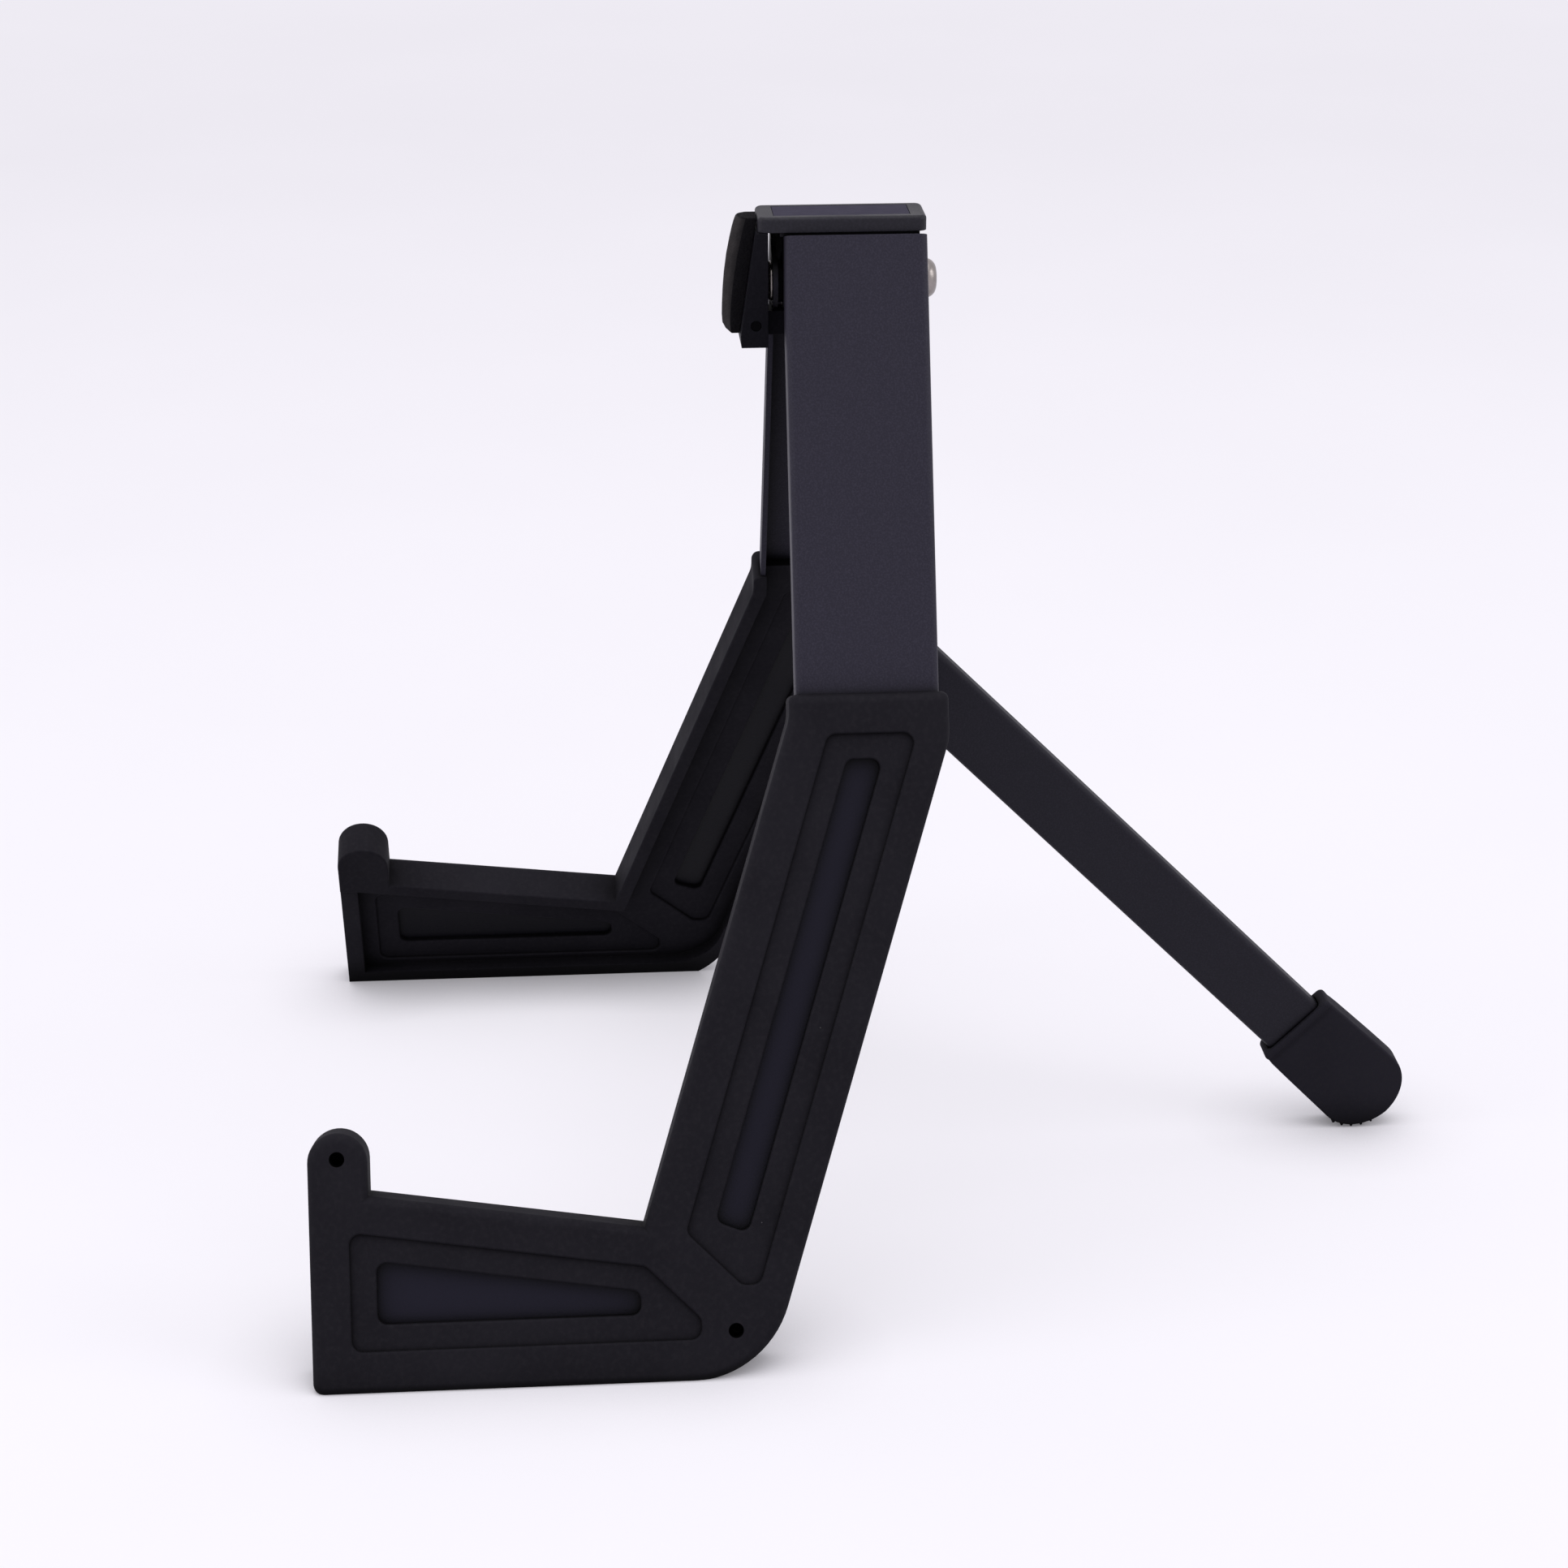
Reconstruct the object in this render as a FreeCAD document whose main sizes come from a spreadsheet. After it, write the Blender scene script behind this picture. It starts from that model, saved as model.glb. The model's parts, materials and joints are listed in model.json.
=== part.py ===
"""Folding guitar stand: two splayed legs in rubber covers, a head with a foam back pad, and a rear leg.

Millimetres, +Z up, the guitar at -Y, the rear leg towards +Y. The origin lies on the floor in the middle of
the footprint. The legs and the head are drawn about the hinge axis, the rear leg about its own pivot, and
their placements set them in the open stand.
"""
import FreeCAD
import Part
import os
import Sketcher

SIZES = (
    ("leg_splay", 22.3, "open angle of each leg from upright, degrees"),
    ("channel_width", 53.2, "width of a leg's steel plate"),
    ("channel_reach", 20.0, "hinge axis to the plate's outer face"),
    ("channel_depth", 12.0, "depth of the channel's flanges"),
    ("sheet_gauge", 2.0, "steel thickness of the legs"),
    ("bend_round", 3.0, "outside radius of the channel's bends"),
    ("plate_rise", 13.6, "hinge axis up to the plate's top edge"),
    ("ear_round", 10.0, "radius of the hinge ears"),
    ("ear_relief", 0.15, "running gap between neighbouring hinge faces"),
    ("hinge_washer", 1.5, "thickness of the washers between the legs' ears"),
    ("cover_skin", 5.5, "rubber over the steel on the outside"),
    ("cover_lining", 4.0, "rubber over the steel on the inside"),
    ("cover_depth", 19.0, "outer face of the cover to its inner rim"),
    ("cover_margin", 3.0, "rubber rim round the steel"),
    ("rim_width", 5.4, "width of the inner rim beside the steel"),
    ("cover_overlap", 6.0, "length of the channel's flanges inside the cover"),
    ("cover_rise", 13.0, "bend of the leg up to the cover's top edge"),
    ("cover_round", 3.6, "rounding of the cover's outer edge"),
    ("rim_round", 0.8, "rounding of the outside edge of the cover's inner rim"),
    ("mouth_round", 2.8, "radius of the corners at the cover's top edge"),
    ("bend_drop", 168.3, "hinge axis down to the bend of the leg's centre line"),
    ("bend_sweep", 16.0, "radius of the cover's edges at the bend"),
    ("lower_lean", 17.4, "forward lean of the lower leg, degrees"),
    ("foot_height", 57.735, "sole up to the cradle's inner corner"),
    ("cradle_tilt", 8.5, "fall of the cradle arm towards the leg, degrees"),
    ("foot_reach", 210.2, "leg's centre line forward to the front of the foot"),
    ("foot_drop", 407.135, "hinge axis down to the sole, along the outer face"),
    ("sole_rise", 13.0, "sole up to the steel inside the foot"),
    ("heel_round", 38.0, "radius of the heel"),
    ("toe_round", 4.5, "radius of the foot's front lower corner"),
    ("toe_wall", 7.5, "front of the foot to the steel inside it"),
    ("toe_step", 2.0, "set-back of the foot's inner rim below the cradle arm"),
    ("horn_width", 22.0, "width of the upright horn at the front"),
    ("horn_rise", 23.4, "cradle arm up to the horn's top"),
    ("horn_core", 9.0, "width of the steel tongue inside the horn"),
    ("mould_hole", 5.6, "diameter of the round holes in horn and heel"),
    ("horn_hole_lift", 1.6, "centre of the horn's round end up to its hole"),
    ("heel_hole_lift", 18.8, "sole up to the heel's hole"),
    ("heel_hole_inset", 16.3, "back edge forward to the heel's hole"),
    ("recess_depth", 1.5, "depth of the sunk panels"),
    ("recess_round", 4.0, "corner radius of the sunk panels"),
    ("panel_edge", 0.9, "rounding of the edges of panels and windows"),
    ("window_round", 3.4, "corner radius of the lower leg's window"),
    ("toe_border", 14.7, "front of the foot to its sunk panel"),
    ("sole_border", 16.0, "sole to the foot's sunk panel"),
    ("arm_border", 14.0, "cradle arm's top to the foot's sunk panel"),
    ("heel_slant", 0.7263, "share of the foot panel's height in its slanted end"),
    ("foot_frame", 0.345, "share of the foot panel's height on each side of its window"),
    ("foot_window_round", 0.4, "share of the foot window's end height in its corner radius"),
    ("window_setback", 2.0, "cradle's inner corner forward to the foot window's end"),
    ("shin_border", 15.3, "front edge of the lower leg to its sunk panel"),
    ("calf_border", 12.4, "back edge of the lower leg to its sunk panel"),
    ("knee_border", 14.8, "cover's top edge to the leg's sunk panel"),
    ("ankle_rise", 35.5, "sole up to the end of the leg's sunk panel"),
    ("ankle_run", 20.0, "length of the leg panel's slanted end"),
    ("leg_frame", 9.4, "leg's sunk panel to its window"),
    ("hinge_pin_radius", 4.0, "radius of the hinge rivet's shank"),
    ("hinge_head_radius", 7.4, "radius of the hinge rivet's heads"),
    ("hinge_head_height", 4.6, "height of the hinge rivet's rear head"),
    ("hinge_tail_height", 1.3, "height of the hinge rivet's front head"),
    ("running_fit", 0.05, "radial clearance of a turning fit"),
    ("spine_width", 15.0, "side-to-side width of the spine tube"),
    ("spine_depth", 37.0, "front-to-back depth of the spine tube"),
    ("spine_wall", 1.5, "wall of the spine tube"),
    ("spine_rise", 18.6, "hinge axis up to the spine's top end"),
    ("spine_tail", 17.0, "rear pivot down to the spine's lower end"),
    ("collar_radius", 8.0, "radius of the hinge's collars"),
    ("stop_gap", 0.3, "gap between a leg and its stop"),
    ("head_length", 52.0, "length of the head plate"),
    ("head_gauge", 2.0, "thickness of the head plate"),
    ("cap_width", 22.0, "width of the cap"),
    ("cap_front", 34.2, "leg's centre line forward to the cap's front"),
    ("cap_back", 28.4, "leg's centre line back to the cap's rear"),
    ("cap_height", 5.6, "height of the cap"),
    ("cap_corner", 3.0, "corner radius of the cap seen from above"),
    ("cap_round", 1.5, "rounding of the cap's top edge"),
    ("badge_length", 50.6, "length of the bare plate set into the cap"),
    ("badge_width", 15.0, "width of the bare plate set into the cap"),
    ("badge_gauge", 0.8, "thickness of the bare plate"),
    ("screw_radius", 1.5, "radius of the cap screws"),
    ("screw_head", 2.8, "radius of the cap screws' heads"),
    ("screw_pitch", 22.0, "distance between the cap screws"),
    ("screw_grip", 3.0, "length of a cap screw inside the cap"),
    ("lug_width", 10.0, "width of the pad bracket's tongue"),
    ("lug_top", 10.4, "hinge axis down to the tongue's upper face"),
    ("lug_height", 9.0, "height of the tongue"),
    ("lug_tip", 37.4, "leg's centre line forward to the tongue's tip"),
    ("lug_base_length", 26.0, "length of the pad bracket's base"),
    ("lug_gauge", 2.0, "thickness of the pad bracket's base"),
    ("rivet_radius", 2.0, "radius of the small rivets"),
    ("rivet_head", 3.6, "radius of the small rivets' heads"),
    ("rivet_crown", 1.6, "height of the small rivets' heads"),
    ("carrier_width", 23.0, "width of the pad carrier"),
    ("carrier_back", 30.4, "leg's centre line forward to the carrier's back"),
    ("carrier_front", 34.9, "leg's centre line forward to the carrier's upper front"),
    ("carrier_foot", 22.7, "hinge axis down to the carrier's lower end"),
    ("carrier_chin", 18.6, "hinge axis down to the lower end of the carrier's front"),
    ("pad_lean", 8.4, "backward lean of the pad, degrees"),
    ("pad_length", 43.8, "length of the pad"),
    ("pad_width", 11.5, "width of the pad"),
    ("pad_crown", 9.0, "thickness of the pad in the middle"),
    ("pad_round", 2.4, "rounding of the pad's ends"),
    ("carrier_pin_radius", 2.0, "radius of the carrier's cross pin"),
    ("pivot_rise", 28.5, "bend of the leg up to the rear leg's pivot"),
    ("rear_leg_length", 295.7, "rear leg's pivot to the centre of its round foot"),
    ("rear_tube_width", 27.2, "width of the rear leg's flat tube"),
    ("rear_tube_thick", 9.0, "thickness of the rear leg's flat tube"),
    ("rear_tube_wall", 1.2, "wall of the rear leg's flat tube"),
    ("rear_tube_round", 2.2, "rounding of the flat tube's edges"),
    ("rear_pin_radius", 3.0, "radius of the rear leg's pivot pin"),
    ("rear_pin_head", 5.5, "radius of the pivot pin's heads"),
    ("rear_pin_crown", 2.2, "height of the pivot pin's heads"),
    ("rear_washer_radius", 8.5, "radius of the rear pivot's washers"),
    ("rear_stop_radius", 2.5, "radius of the folded rear leg's stop pin"),
    ("insert_length", 34.0, "pivot to the inner end of the tube's insert"),
    ("boot_radius", 18.0, "half width of the rear boot and radius of its end"),
    ("boot_thick", 12.4, "thickness of the rear boot"),
    ("boot_length", 43.5, "centre of the boot's round end up to its mouth"),
    ("boot_seat", 6.0, "centre of the boot's round end up to the tube's end"),
    ("boot_round", 2.4, "rounding of the boot's edges"),
)

doc = FreeCAD.newDocument("guitar_stand")
sheet = doc.addObject("Spreadsheet::Sheet", "sizes")
for row, (alias, size, note) in enumerate(SIZES, start=1):
    sheet.set(f"A{row}", alias)
    sheet.set(f"B{row}", str(size))
    sheet.set(f"C{row}", note)
    sheet.setAlias(f"B{row}", alias)
doc.recompute()

UP = FreeCAD.Vector(0, 0, 1)
SIDE = FreeCAD.Vector(1, 0, 0)
REAR = FreeCAD.Vector(0, 1, 0)


def value(expression):
    """The present number behind an expression."""
    result = sheet.evalExpression(expression)
    return float(getattr(result, "Value", result))


# Derived places that several pieces share

COVER_FACE = "(sizes.channel_reach + sizes.cover_skin)"
RIM_FACE = "(sizes.channel_reach + sizes.cover_skin - sizes.cover_depth)"
PLATE_INNER = "(sizes.channel_reach - sizes.sheet_gauge)"
LINING_FACE = "(sizes.channel_reach - sizes.sheet_gauge - sizes.cover_lining)"
PLATE_HALF = "(sizes.channel_width / 2)"
COVER_HALF = "(sizes.channel_width / 2 + sizes.cover_margin)"
EAR_FACE = "(sizes.channel_width / 2 - sizes.sheet_gauge)"
NEST = "(sizes.sheet_gauge + sizes.hinge_washer + 2 * sizes.ear_relief)"
HINGE_Z = f"(sizes.foot_drop * cos(sizes.leg_splay) - {COVER_FACE} * sin(sizes.leg_splay))"
COVER_DROP = "(sizes.bend_drop - sizes.cover_rise)"
CRADLE_DROP = "(sizes.foot_drop - sizes.foot_height)"
ANKLE_DROP = "(sizes.foot_drop - sizes.ankle_rise)"
PANEL_HEIGHT = "(sizes.foot_height - sizes.arm_border / cos(sizes.cradle_tilt) - sizes.sole_border)"
HEEL_RUN = f"(sizes.heel_slant * {PANEL_HEIGHT})"
FOOT_FRAME = f"(sizes.foot_frame * {PANEL_HEIGHT})"
PIVOT_DROP = "(sizes.bend_drop - sizes.pivot_rise)"
PIVOT_BACK = "(sizes.pivot_rise * tan(sizes.lower_lean))"
REAR_OPEN = f"acos(({HINGE_Z} - {PIVOT_DROP} - sizes.boot_radius) / sizes.rear_leg_length)"
REAR_END = f"({PIVOT_BACK} + sizes.rear_leg_length * sin({REAR_OPEN}) + sizes.boot_radius)"
MIDLINE_Y = f"((sizes.foot_reach + {NEST} / 2 - {REAR_END}) / 2)"
SHIN_RUN = f"(sizes.bend_drop - {CRADLE_DROP}) * tan(sizes.lower_lean)"
CORNER_Y = f"({SHIN_RUN} - {COVER_HALF} / cos(sizes.lower_lean))"
HORN_Y = "(sizes.horn_width / 2 - sizes.foot_reach)"
HORN_ROOT = f"(-{CRADLE_DROP} + ({CORNER_Y} - {HORN_Y} - sizes.horn_width / 2) * tan(sizes.cradle_tilt))"
HORN_Z = f"({HORN_ROOT} + sizes.horn_rise - sizes.horn_width / 2)"
HORN_HOLE = (HORN_Y, f"({HORN_Z} + sizes.horn_hole_lift)")
MOULD_BORE = "(sizes.mould_hole / 2)"
SPINE_HALF = "(sizes.spine_depth / 2)"
CHEEK_INNER = "(sizes.spine_width / 2 - sizes.spine_wall)"
HEAD_TOP = "(sizes.spine_rise + sizes.head_gauge)"
LEG_STOP = "((sizes.plate_rise + sizes.stop_gap) / cos(sizes.leg_splay))"
HEAD_HALF = f"((sizes.spine_rise - {LEG_STOP}) / tan(sizes.leg_splay))"
CARRIER_CHIN_Y = f"(-sizes.carrier_front - ({HEAD_TOP} + sizes.carrier_chin) * tan(sizes.pad_lean))"
LUG_FOOT = "(-sizes.lug_top - sizes.lug_height)"
HINGE_BORE = "(sizes.hinge_pin_radius + sizes.running_fit)"
RIVET_BORE = "(sizes.rivet_radius + sizes.running_fit)"
SCREW_BORE = "(sizes.screw_radius + sizes.running_fit)"
CARRIER_BORE = "(sizes.carrier_pin_radius + sizes.running_fit)"
PIVOT_BORE = "(sizes.rear_pin_radius + sizes.running_fit)"
STOP_BORE = "(sizes.rear_stop_radius + sizes.running_fit)"


# Sketching and feature helpers


def new_body(name):
    body = doc.addObject("PartDesign::Body", name)
    body.Label = name
    return body


def bind_place(target, base, axis=None, angle=None):
    """Ties a placement to expressions; base is an (x, y, z) of expressions."""
    if axis is not None:
        target.Placement = FreeCAD.Placement(FreeCAD.Vector(), FreeCAD.Rotation(axis, 10))
        target.setExpression("Placement.Rotation.Angle", f"{angle} * 1 deg")
    for letter, expression in zip("xyz", base):
        target.setExpression(f"Placement.Base.{letter}", expression)


def place_at_hinge(target):
    bind_place(target, ("0", MIDLINE_Y, HINGE_Z))


def place_as_leg(target, shift):
    """Opens a leg about the hinge and moves it aside so that its ears pass the other leg's."""
    bind_place(target, ("0", f"({MIDLINE_Y} + {shift})", HINGE_Z), -REAR, "sizes.leg_splay")


def place_as_rear_leg(target):
    base = ("0", f"{MIDLINE_Y} + {PIVOT_BACK}", f"{HINGE_Z} - {PIVOT_DROP}")
    bind_place(target, base, SIDE, f"({REAR_OPEN} / 1 deg)")


def sketch_on(body, name, role, offset):
    """An empty sketch on one of the body's origin planes, moved along its normal."""
    sketch = body.newObject("Sketcher::SketchObject", name)
    plane = next(item for item in body.Origin.OriginFeatures if item.Role == role)
    sketch.AttachmentSupport = [(plane, "")]
    sketch.MapMode = "FlatFace"
    sketch.setExpression("AttachmentOffset.Base.z", offset)
    return sketch


def pin_point(sketch, geometry, position, point):
    """Ties one sketch point to a pair of expressions."""
    for kind, expression in zip(("DistanceX", "DistanceY"), point):
        index = sketch.addConstraint(Sketcher.Constraint(kind, -1, 1, geometry, position, value(expression)))
        sketch.setExpression(f"Constraints[{index}]", expression)


def add_polygon(sketch, points):
    first = sketch.GeometryCount
    corners = [FreeCAD.Vector(value(x), value(y), 0) for x, y in points]
    following = corners[1:] + corners[:1]
    for start, end in zip(corners, following):
        sketch.addGeometry(Part.LineSegment(start, end), False)
    count = len(points)
    for index in range(count):
        joined = first + (index + 1) % count
        sketch.addConstraint(Sketcher.Constraint("Coincident", first + index, 2, joined, 1))
    for index, point in enumerate(points):
        pin_point(sketch, first + index, 1, point)


def polygon(body, name, role, points, offset="0"):
    sketch = sketch_on(body, name, role, offset)
    add_polygon(sketch, points)
    return sketch


def rectangle(body, name, role, low, high, offset="0"):
    corners = ((low[0], low[1]), (high[0], low[1]), (high[0], high[1]), (low[0], high[1]))
    return polygon(body, name, role, corners, offset)


def circles(body, name, role, centres, radii, offset="0"):
    """A sketch of circles; equal centres with two radii make a ring."""
    sketch = sketch_on(body, name, role, offset)
    for (x, y), radius in zip(centres, radii):
        centre = FreeCAD.Vector(value(x), value(y), 0)
        index = sketch.addGeometry(Part.Circle(centre, UP, value(radius)), False)
        pin_point(sketch, index, 3, (x, y))
        bound = sketch.addConstraint(Sketcher.Constraint("Radius", index, value(radius)))
        sketch.setExpression(f"Constraints[{bound}]", radius)
    return sketch


def pad(body, sketch, length, symmetric=False, reverse=False):
    feature = body.newObject("PartDesign::Pad", f"{sketch.Name}_pad")
    feature.Profile = sketch
    feature.setExpression("Length", length)
    feature.Reversed = reverse
    if symmetric:
        feature.SideType = "Symmetric"
    doc.recompute()
    return feature


def pocket(body, sketch, length=None, reverse=False):
    """Cuts a sketch into the body, to a depth or right through both ways, and checks that it cut."""
    before = body.Shape.Volume
    feature = body.newObject("PartDesign::Pocket", f"{sketch.Name}_cut")
    feature.Profile = sketch
    feature.Reversed = reverse
    if length is None:
        feature.SideType = "Symmetric"
        feature.Type = "ThroughAll"
    else:
        feature.setExpression("Length", length)
    doc.recompute()
    if body.Shape.Volume > before - 0.01:
        raise RuntimeError(f"{sketch.Name} cuts nothing")
    return feature


def edges_along(shape, axis, places):
    """Names of the straight edges along an axis that stand at one of the given places across it."""
    index = "xyz".index(axis)
    across = [i for i in range(3) if i != index]
    names = []
    for number, edge in enumerate(shape.Edges, start=1):
        start, end = edge.Vertexes[0].Point, edge.Vertexes[-1].Point
        if abs(end[index] - start[index]) < 0.5 * edge.Length or edge.Length < 1e-6:
            continue
        for place in places:
            if all(abs(start[i] - place[k]) + abs(end[i] - place[k]) < 0.02 for k, i in enumerate(across)):
                names.append(f"Edge{number}")
    return names


def edges_at_level(shape, axis, level):
    """Names of the edges that lie in the plane across an axis at the given level."""
    low = f"{axis.upper()}Min"
    high = f"{axis.upper()}Max"
    names = []
    for number, edge in enumerate(shape.Edges, start=1):
        box = edge.BoundBox
        if abs(getattr(box, low) - level) < 0.01 and abs(getattr(box, high) - level) < 0.01:
            names.append(f"Edge{number}")
    return names


def rounded(body, feature, edges, radius):
    """Rounds the named edges of a feature."""
    if not edges:
        raise RuntimeError(f"{feature.Name} has no edges to round")
    fillet = body.newObject("PartDesign::Fillet", f"{feature.Name}_round")
    fillet.Base = (feature, edges)
    fillet.setExpression("Radius", radius)
    doc.recompute()
    if fillet.Shape.isNull() or not fillet.Shape.isValid() or "Invalid" in fillet.State:
        raise RuntimeError(f"{feature.Name} can't be rounded")
    return fillet


def numbers(points):
    return [(value(x), value(y)) for x, y in points]


def mirrored(name, source, normal, offset="0"):
    """A mirror image across the plane through the origin, or through the midline for front and back."""
    image = doc.addObject("Part::Mirroring", name)
    image.Label = name
    image.Source = source
    image.Normal = normal
    image.setExpression("Base.y", offset)
    return image


def grouped(name, members):
    group = doc.addObject("Part::Compound", name)
    group.Label = name
    group.Links = members
    return group


# Leg outlines, in the plane of the leg: y towards the rear, z up from the hinge axis


def shin_line(inset, z):
    """Front edge of the lower leg, moved inwards, at a height."""
    half = f"({COVER_HALF} - {inset})"
    return f"(({z} + sizes.bend_drop) * tan(sizes.lower_lean) - {half} / cos(sizes.lower_lean))"


def calf_line(inset, z):
    """Back edge of the lower leg, moved inwards, at a height."""
    half = f"({COVER_HALF} - {inset})"
    return f"(({z} + sizes.bend_drop) * tan(sizes.lower_lean) + {half} / cos(sizes.lower_lean))"


def arm_line(inset, y):
    """Top edge of the cradle arm, moved inwards, at a place along it."""
    drop = f"{inset} / cos(sizes.cradle_tilt)"
    return f"(-{CRADLE_DROP} - {drop} + ({CORNER_Y} - {y}) * tan(sizes.cradle_tilt))"


def arm_meets_shin(inset):
    """Inner corner of the cradle for edges moved inwards."""
    level = f"(-{CRADLE_DROP} - {inset} / cos(sizes.cradle_tilt) + {CORNER_Y} * tan(sizes.cradle_tilt))"
    half = f"({COVER_HALF} - {inset})"
    reach = f"(({level} + sizes.bend_drop) * tan(sizes.lower_lean) - {half} / cos(sizes.lower_lean))"
    y = f"({reach} / (1 + tan(sizes.cradle_tilt) * tan(sizes.lower_lean)))"
    return y, arm_line(inset, y)


def leg_outline(inset, toe_inset, sole_inset, top):
    """Corners of the leg and foot without the horn, moved inwards by a rim."""
    half = f"({COVER_HALF} - {inset})"
    toe = f"(-sizes.foot_reach + {toe_inset})"
    sole = f"(-sizes.foot_drop + {sole_inset})"
    turn = f"{half} * tan(sizes.lower_lean / 2)"
    return {
        "top_front": (f"-{half}", top),
        "bend_front": (f"-{half}", f"(-sizes.bend_drop + {turn})"),
        "cradle": arm_meets_shin(inset),
        "arm_front": (toe, arm_line(inset, toe)),
        "toe": (toe, sole),
        "heel": (calf_line(inset, sole), sole),
        "bend_back": (half, f"(-sizes.bend_drop - {turn})"),
        "top_back": (half, top),
    }


def foot_panel():
    """Corners of the foot's sunk panel, with a slanted heel end."""
    toe = "(sizes.toe_border - sizes.foot_reach)"
    sole = "(sizes.sole_border - sizes.foot_drop)"
    heel = f"({CORNER_Y} + {HEEL_RUN})"
    shoulder = arm_line("sizes.arm_border", CORNER_Y)
    return (
        (toe, arm_line("sizes.arm_border", toe)),
        (CORNER_Y, shoulder),
        (heel, f"({shoulder} - {HEEL_RUN})"),
        (heel, sole),
        (toe, sole),
    )


def foot_window():
    """Corners of the window inside the foot's sunk panel."""
    toe = f"(sizes.toe_border + {FOOT_FRAME} - sizes.foot_reach)"
    sole = f"(sizes.sole_border + {FOOT_FRAME} - sizes.foot_drop)"
    inset = f"(sizes.arm_border + {FOOT_FRAME})"
    heel = f"({CORNER_Y} - sizes.window_setback)"
    return (toe, arm_line(inset, toe)), (heel, arm_line(inset, heel)), (heel, sole), (toe, sole)


def leg_panel():
    """Corners of the lower leg's sunk panel, with a slanted ankle end."""
    top = f"(-{COVER_DROP} - sizes.knee_border)"
    low = f"-{ANKLE_DROP}"
    side = f"(sizes.ankle_run - {ANKLE_DROP})"
    return (
        (shin_line("sizes.shin_border", top), top),
        (shin_line("sizes.shin_border", side), side),
        (f"({shin_line('sizes.shin_border', side)} + sizes.ankle_run)", low),
        (calf_line("sizes.calf_border", low), low),
        (calf_line("sizes.calf_border", top), top),
    )


def leg_window():
    """Corners of the window inside the lower leg's sunk panel."""
    top = f"(-{COVER_DROP} - sizes.knee_border - sizes.leg_frame)"
    low = f"(2 * sizes.leg_frame - {ANKLE_DROP})"
    side = f"(2.5 * sizes.leg_frame - {ANKLE_DROP})"
    shin = "(sizes.shin_border + sizes.leg_frame)"
    calf = "(sizes.calf_border + sizes.leg_frame)"
    return (
        (shin_line(shin, top), top),
        (shin_line(shin, side), side),
        (calf_line(calf, low), low),
        (calf_line(calf, top), top),
    )


def lower_rim(arm_front, cradle):
    """Corners round the foot's rim below the cradle arm, past the foot's own edges."""
    front = "(-1.1 * sizes.foot_reach)"
    back = "(0.5 * sizes.foot_reach)"
    ankle = "(sizes.heel_round - sizes.foot_drop)"
    low = "(-1.1 * sizes.foot_drop)"
    return (
        (front, arm_front[1]), arm_front, cradle, (cradle[0], ankle), (back, ankle), (back, low), (front, low),
    )


def heel_hole():
    """Centre of the round hole in the heel."""
    z = "(-sizes.foot_drop + sizes.heel_hole_lift)"
    return calf_line("sizes.heel_hole_inset", z), z


# Steel leg channels


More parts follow.
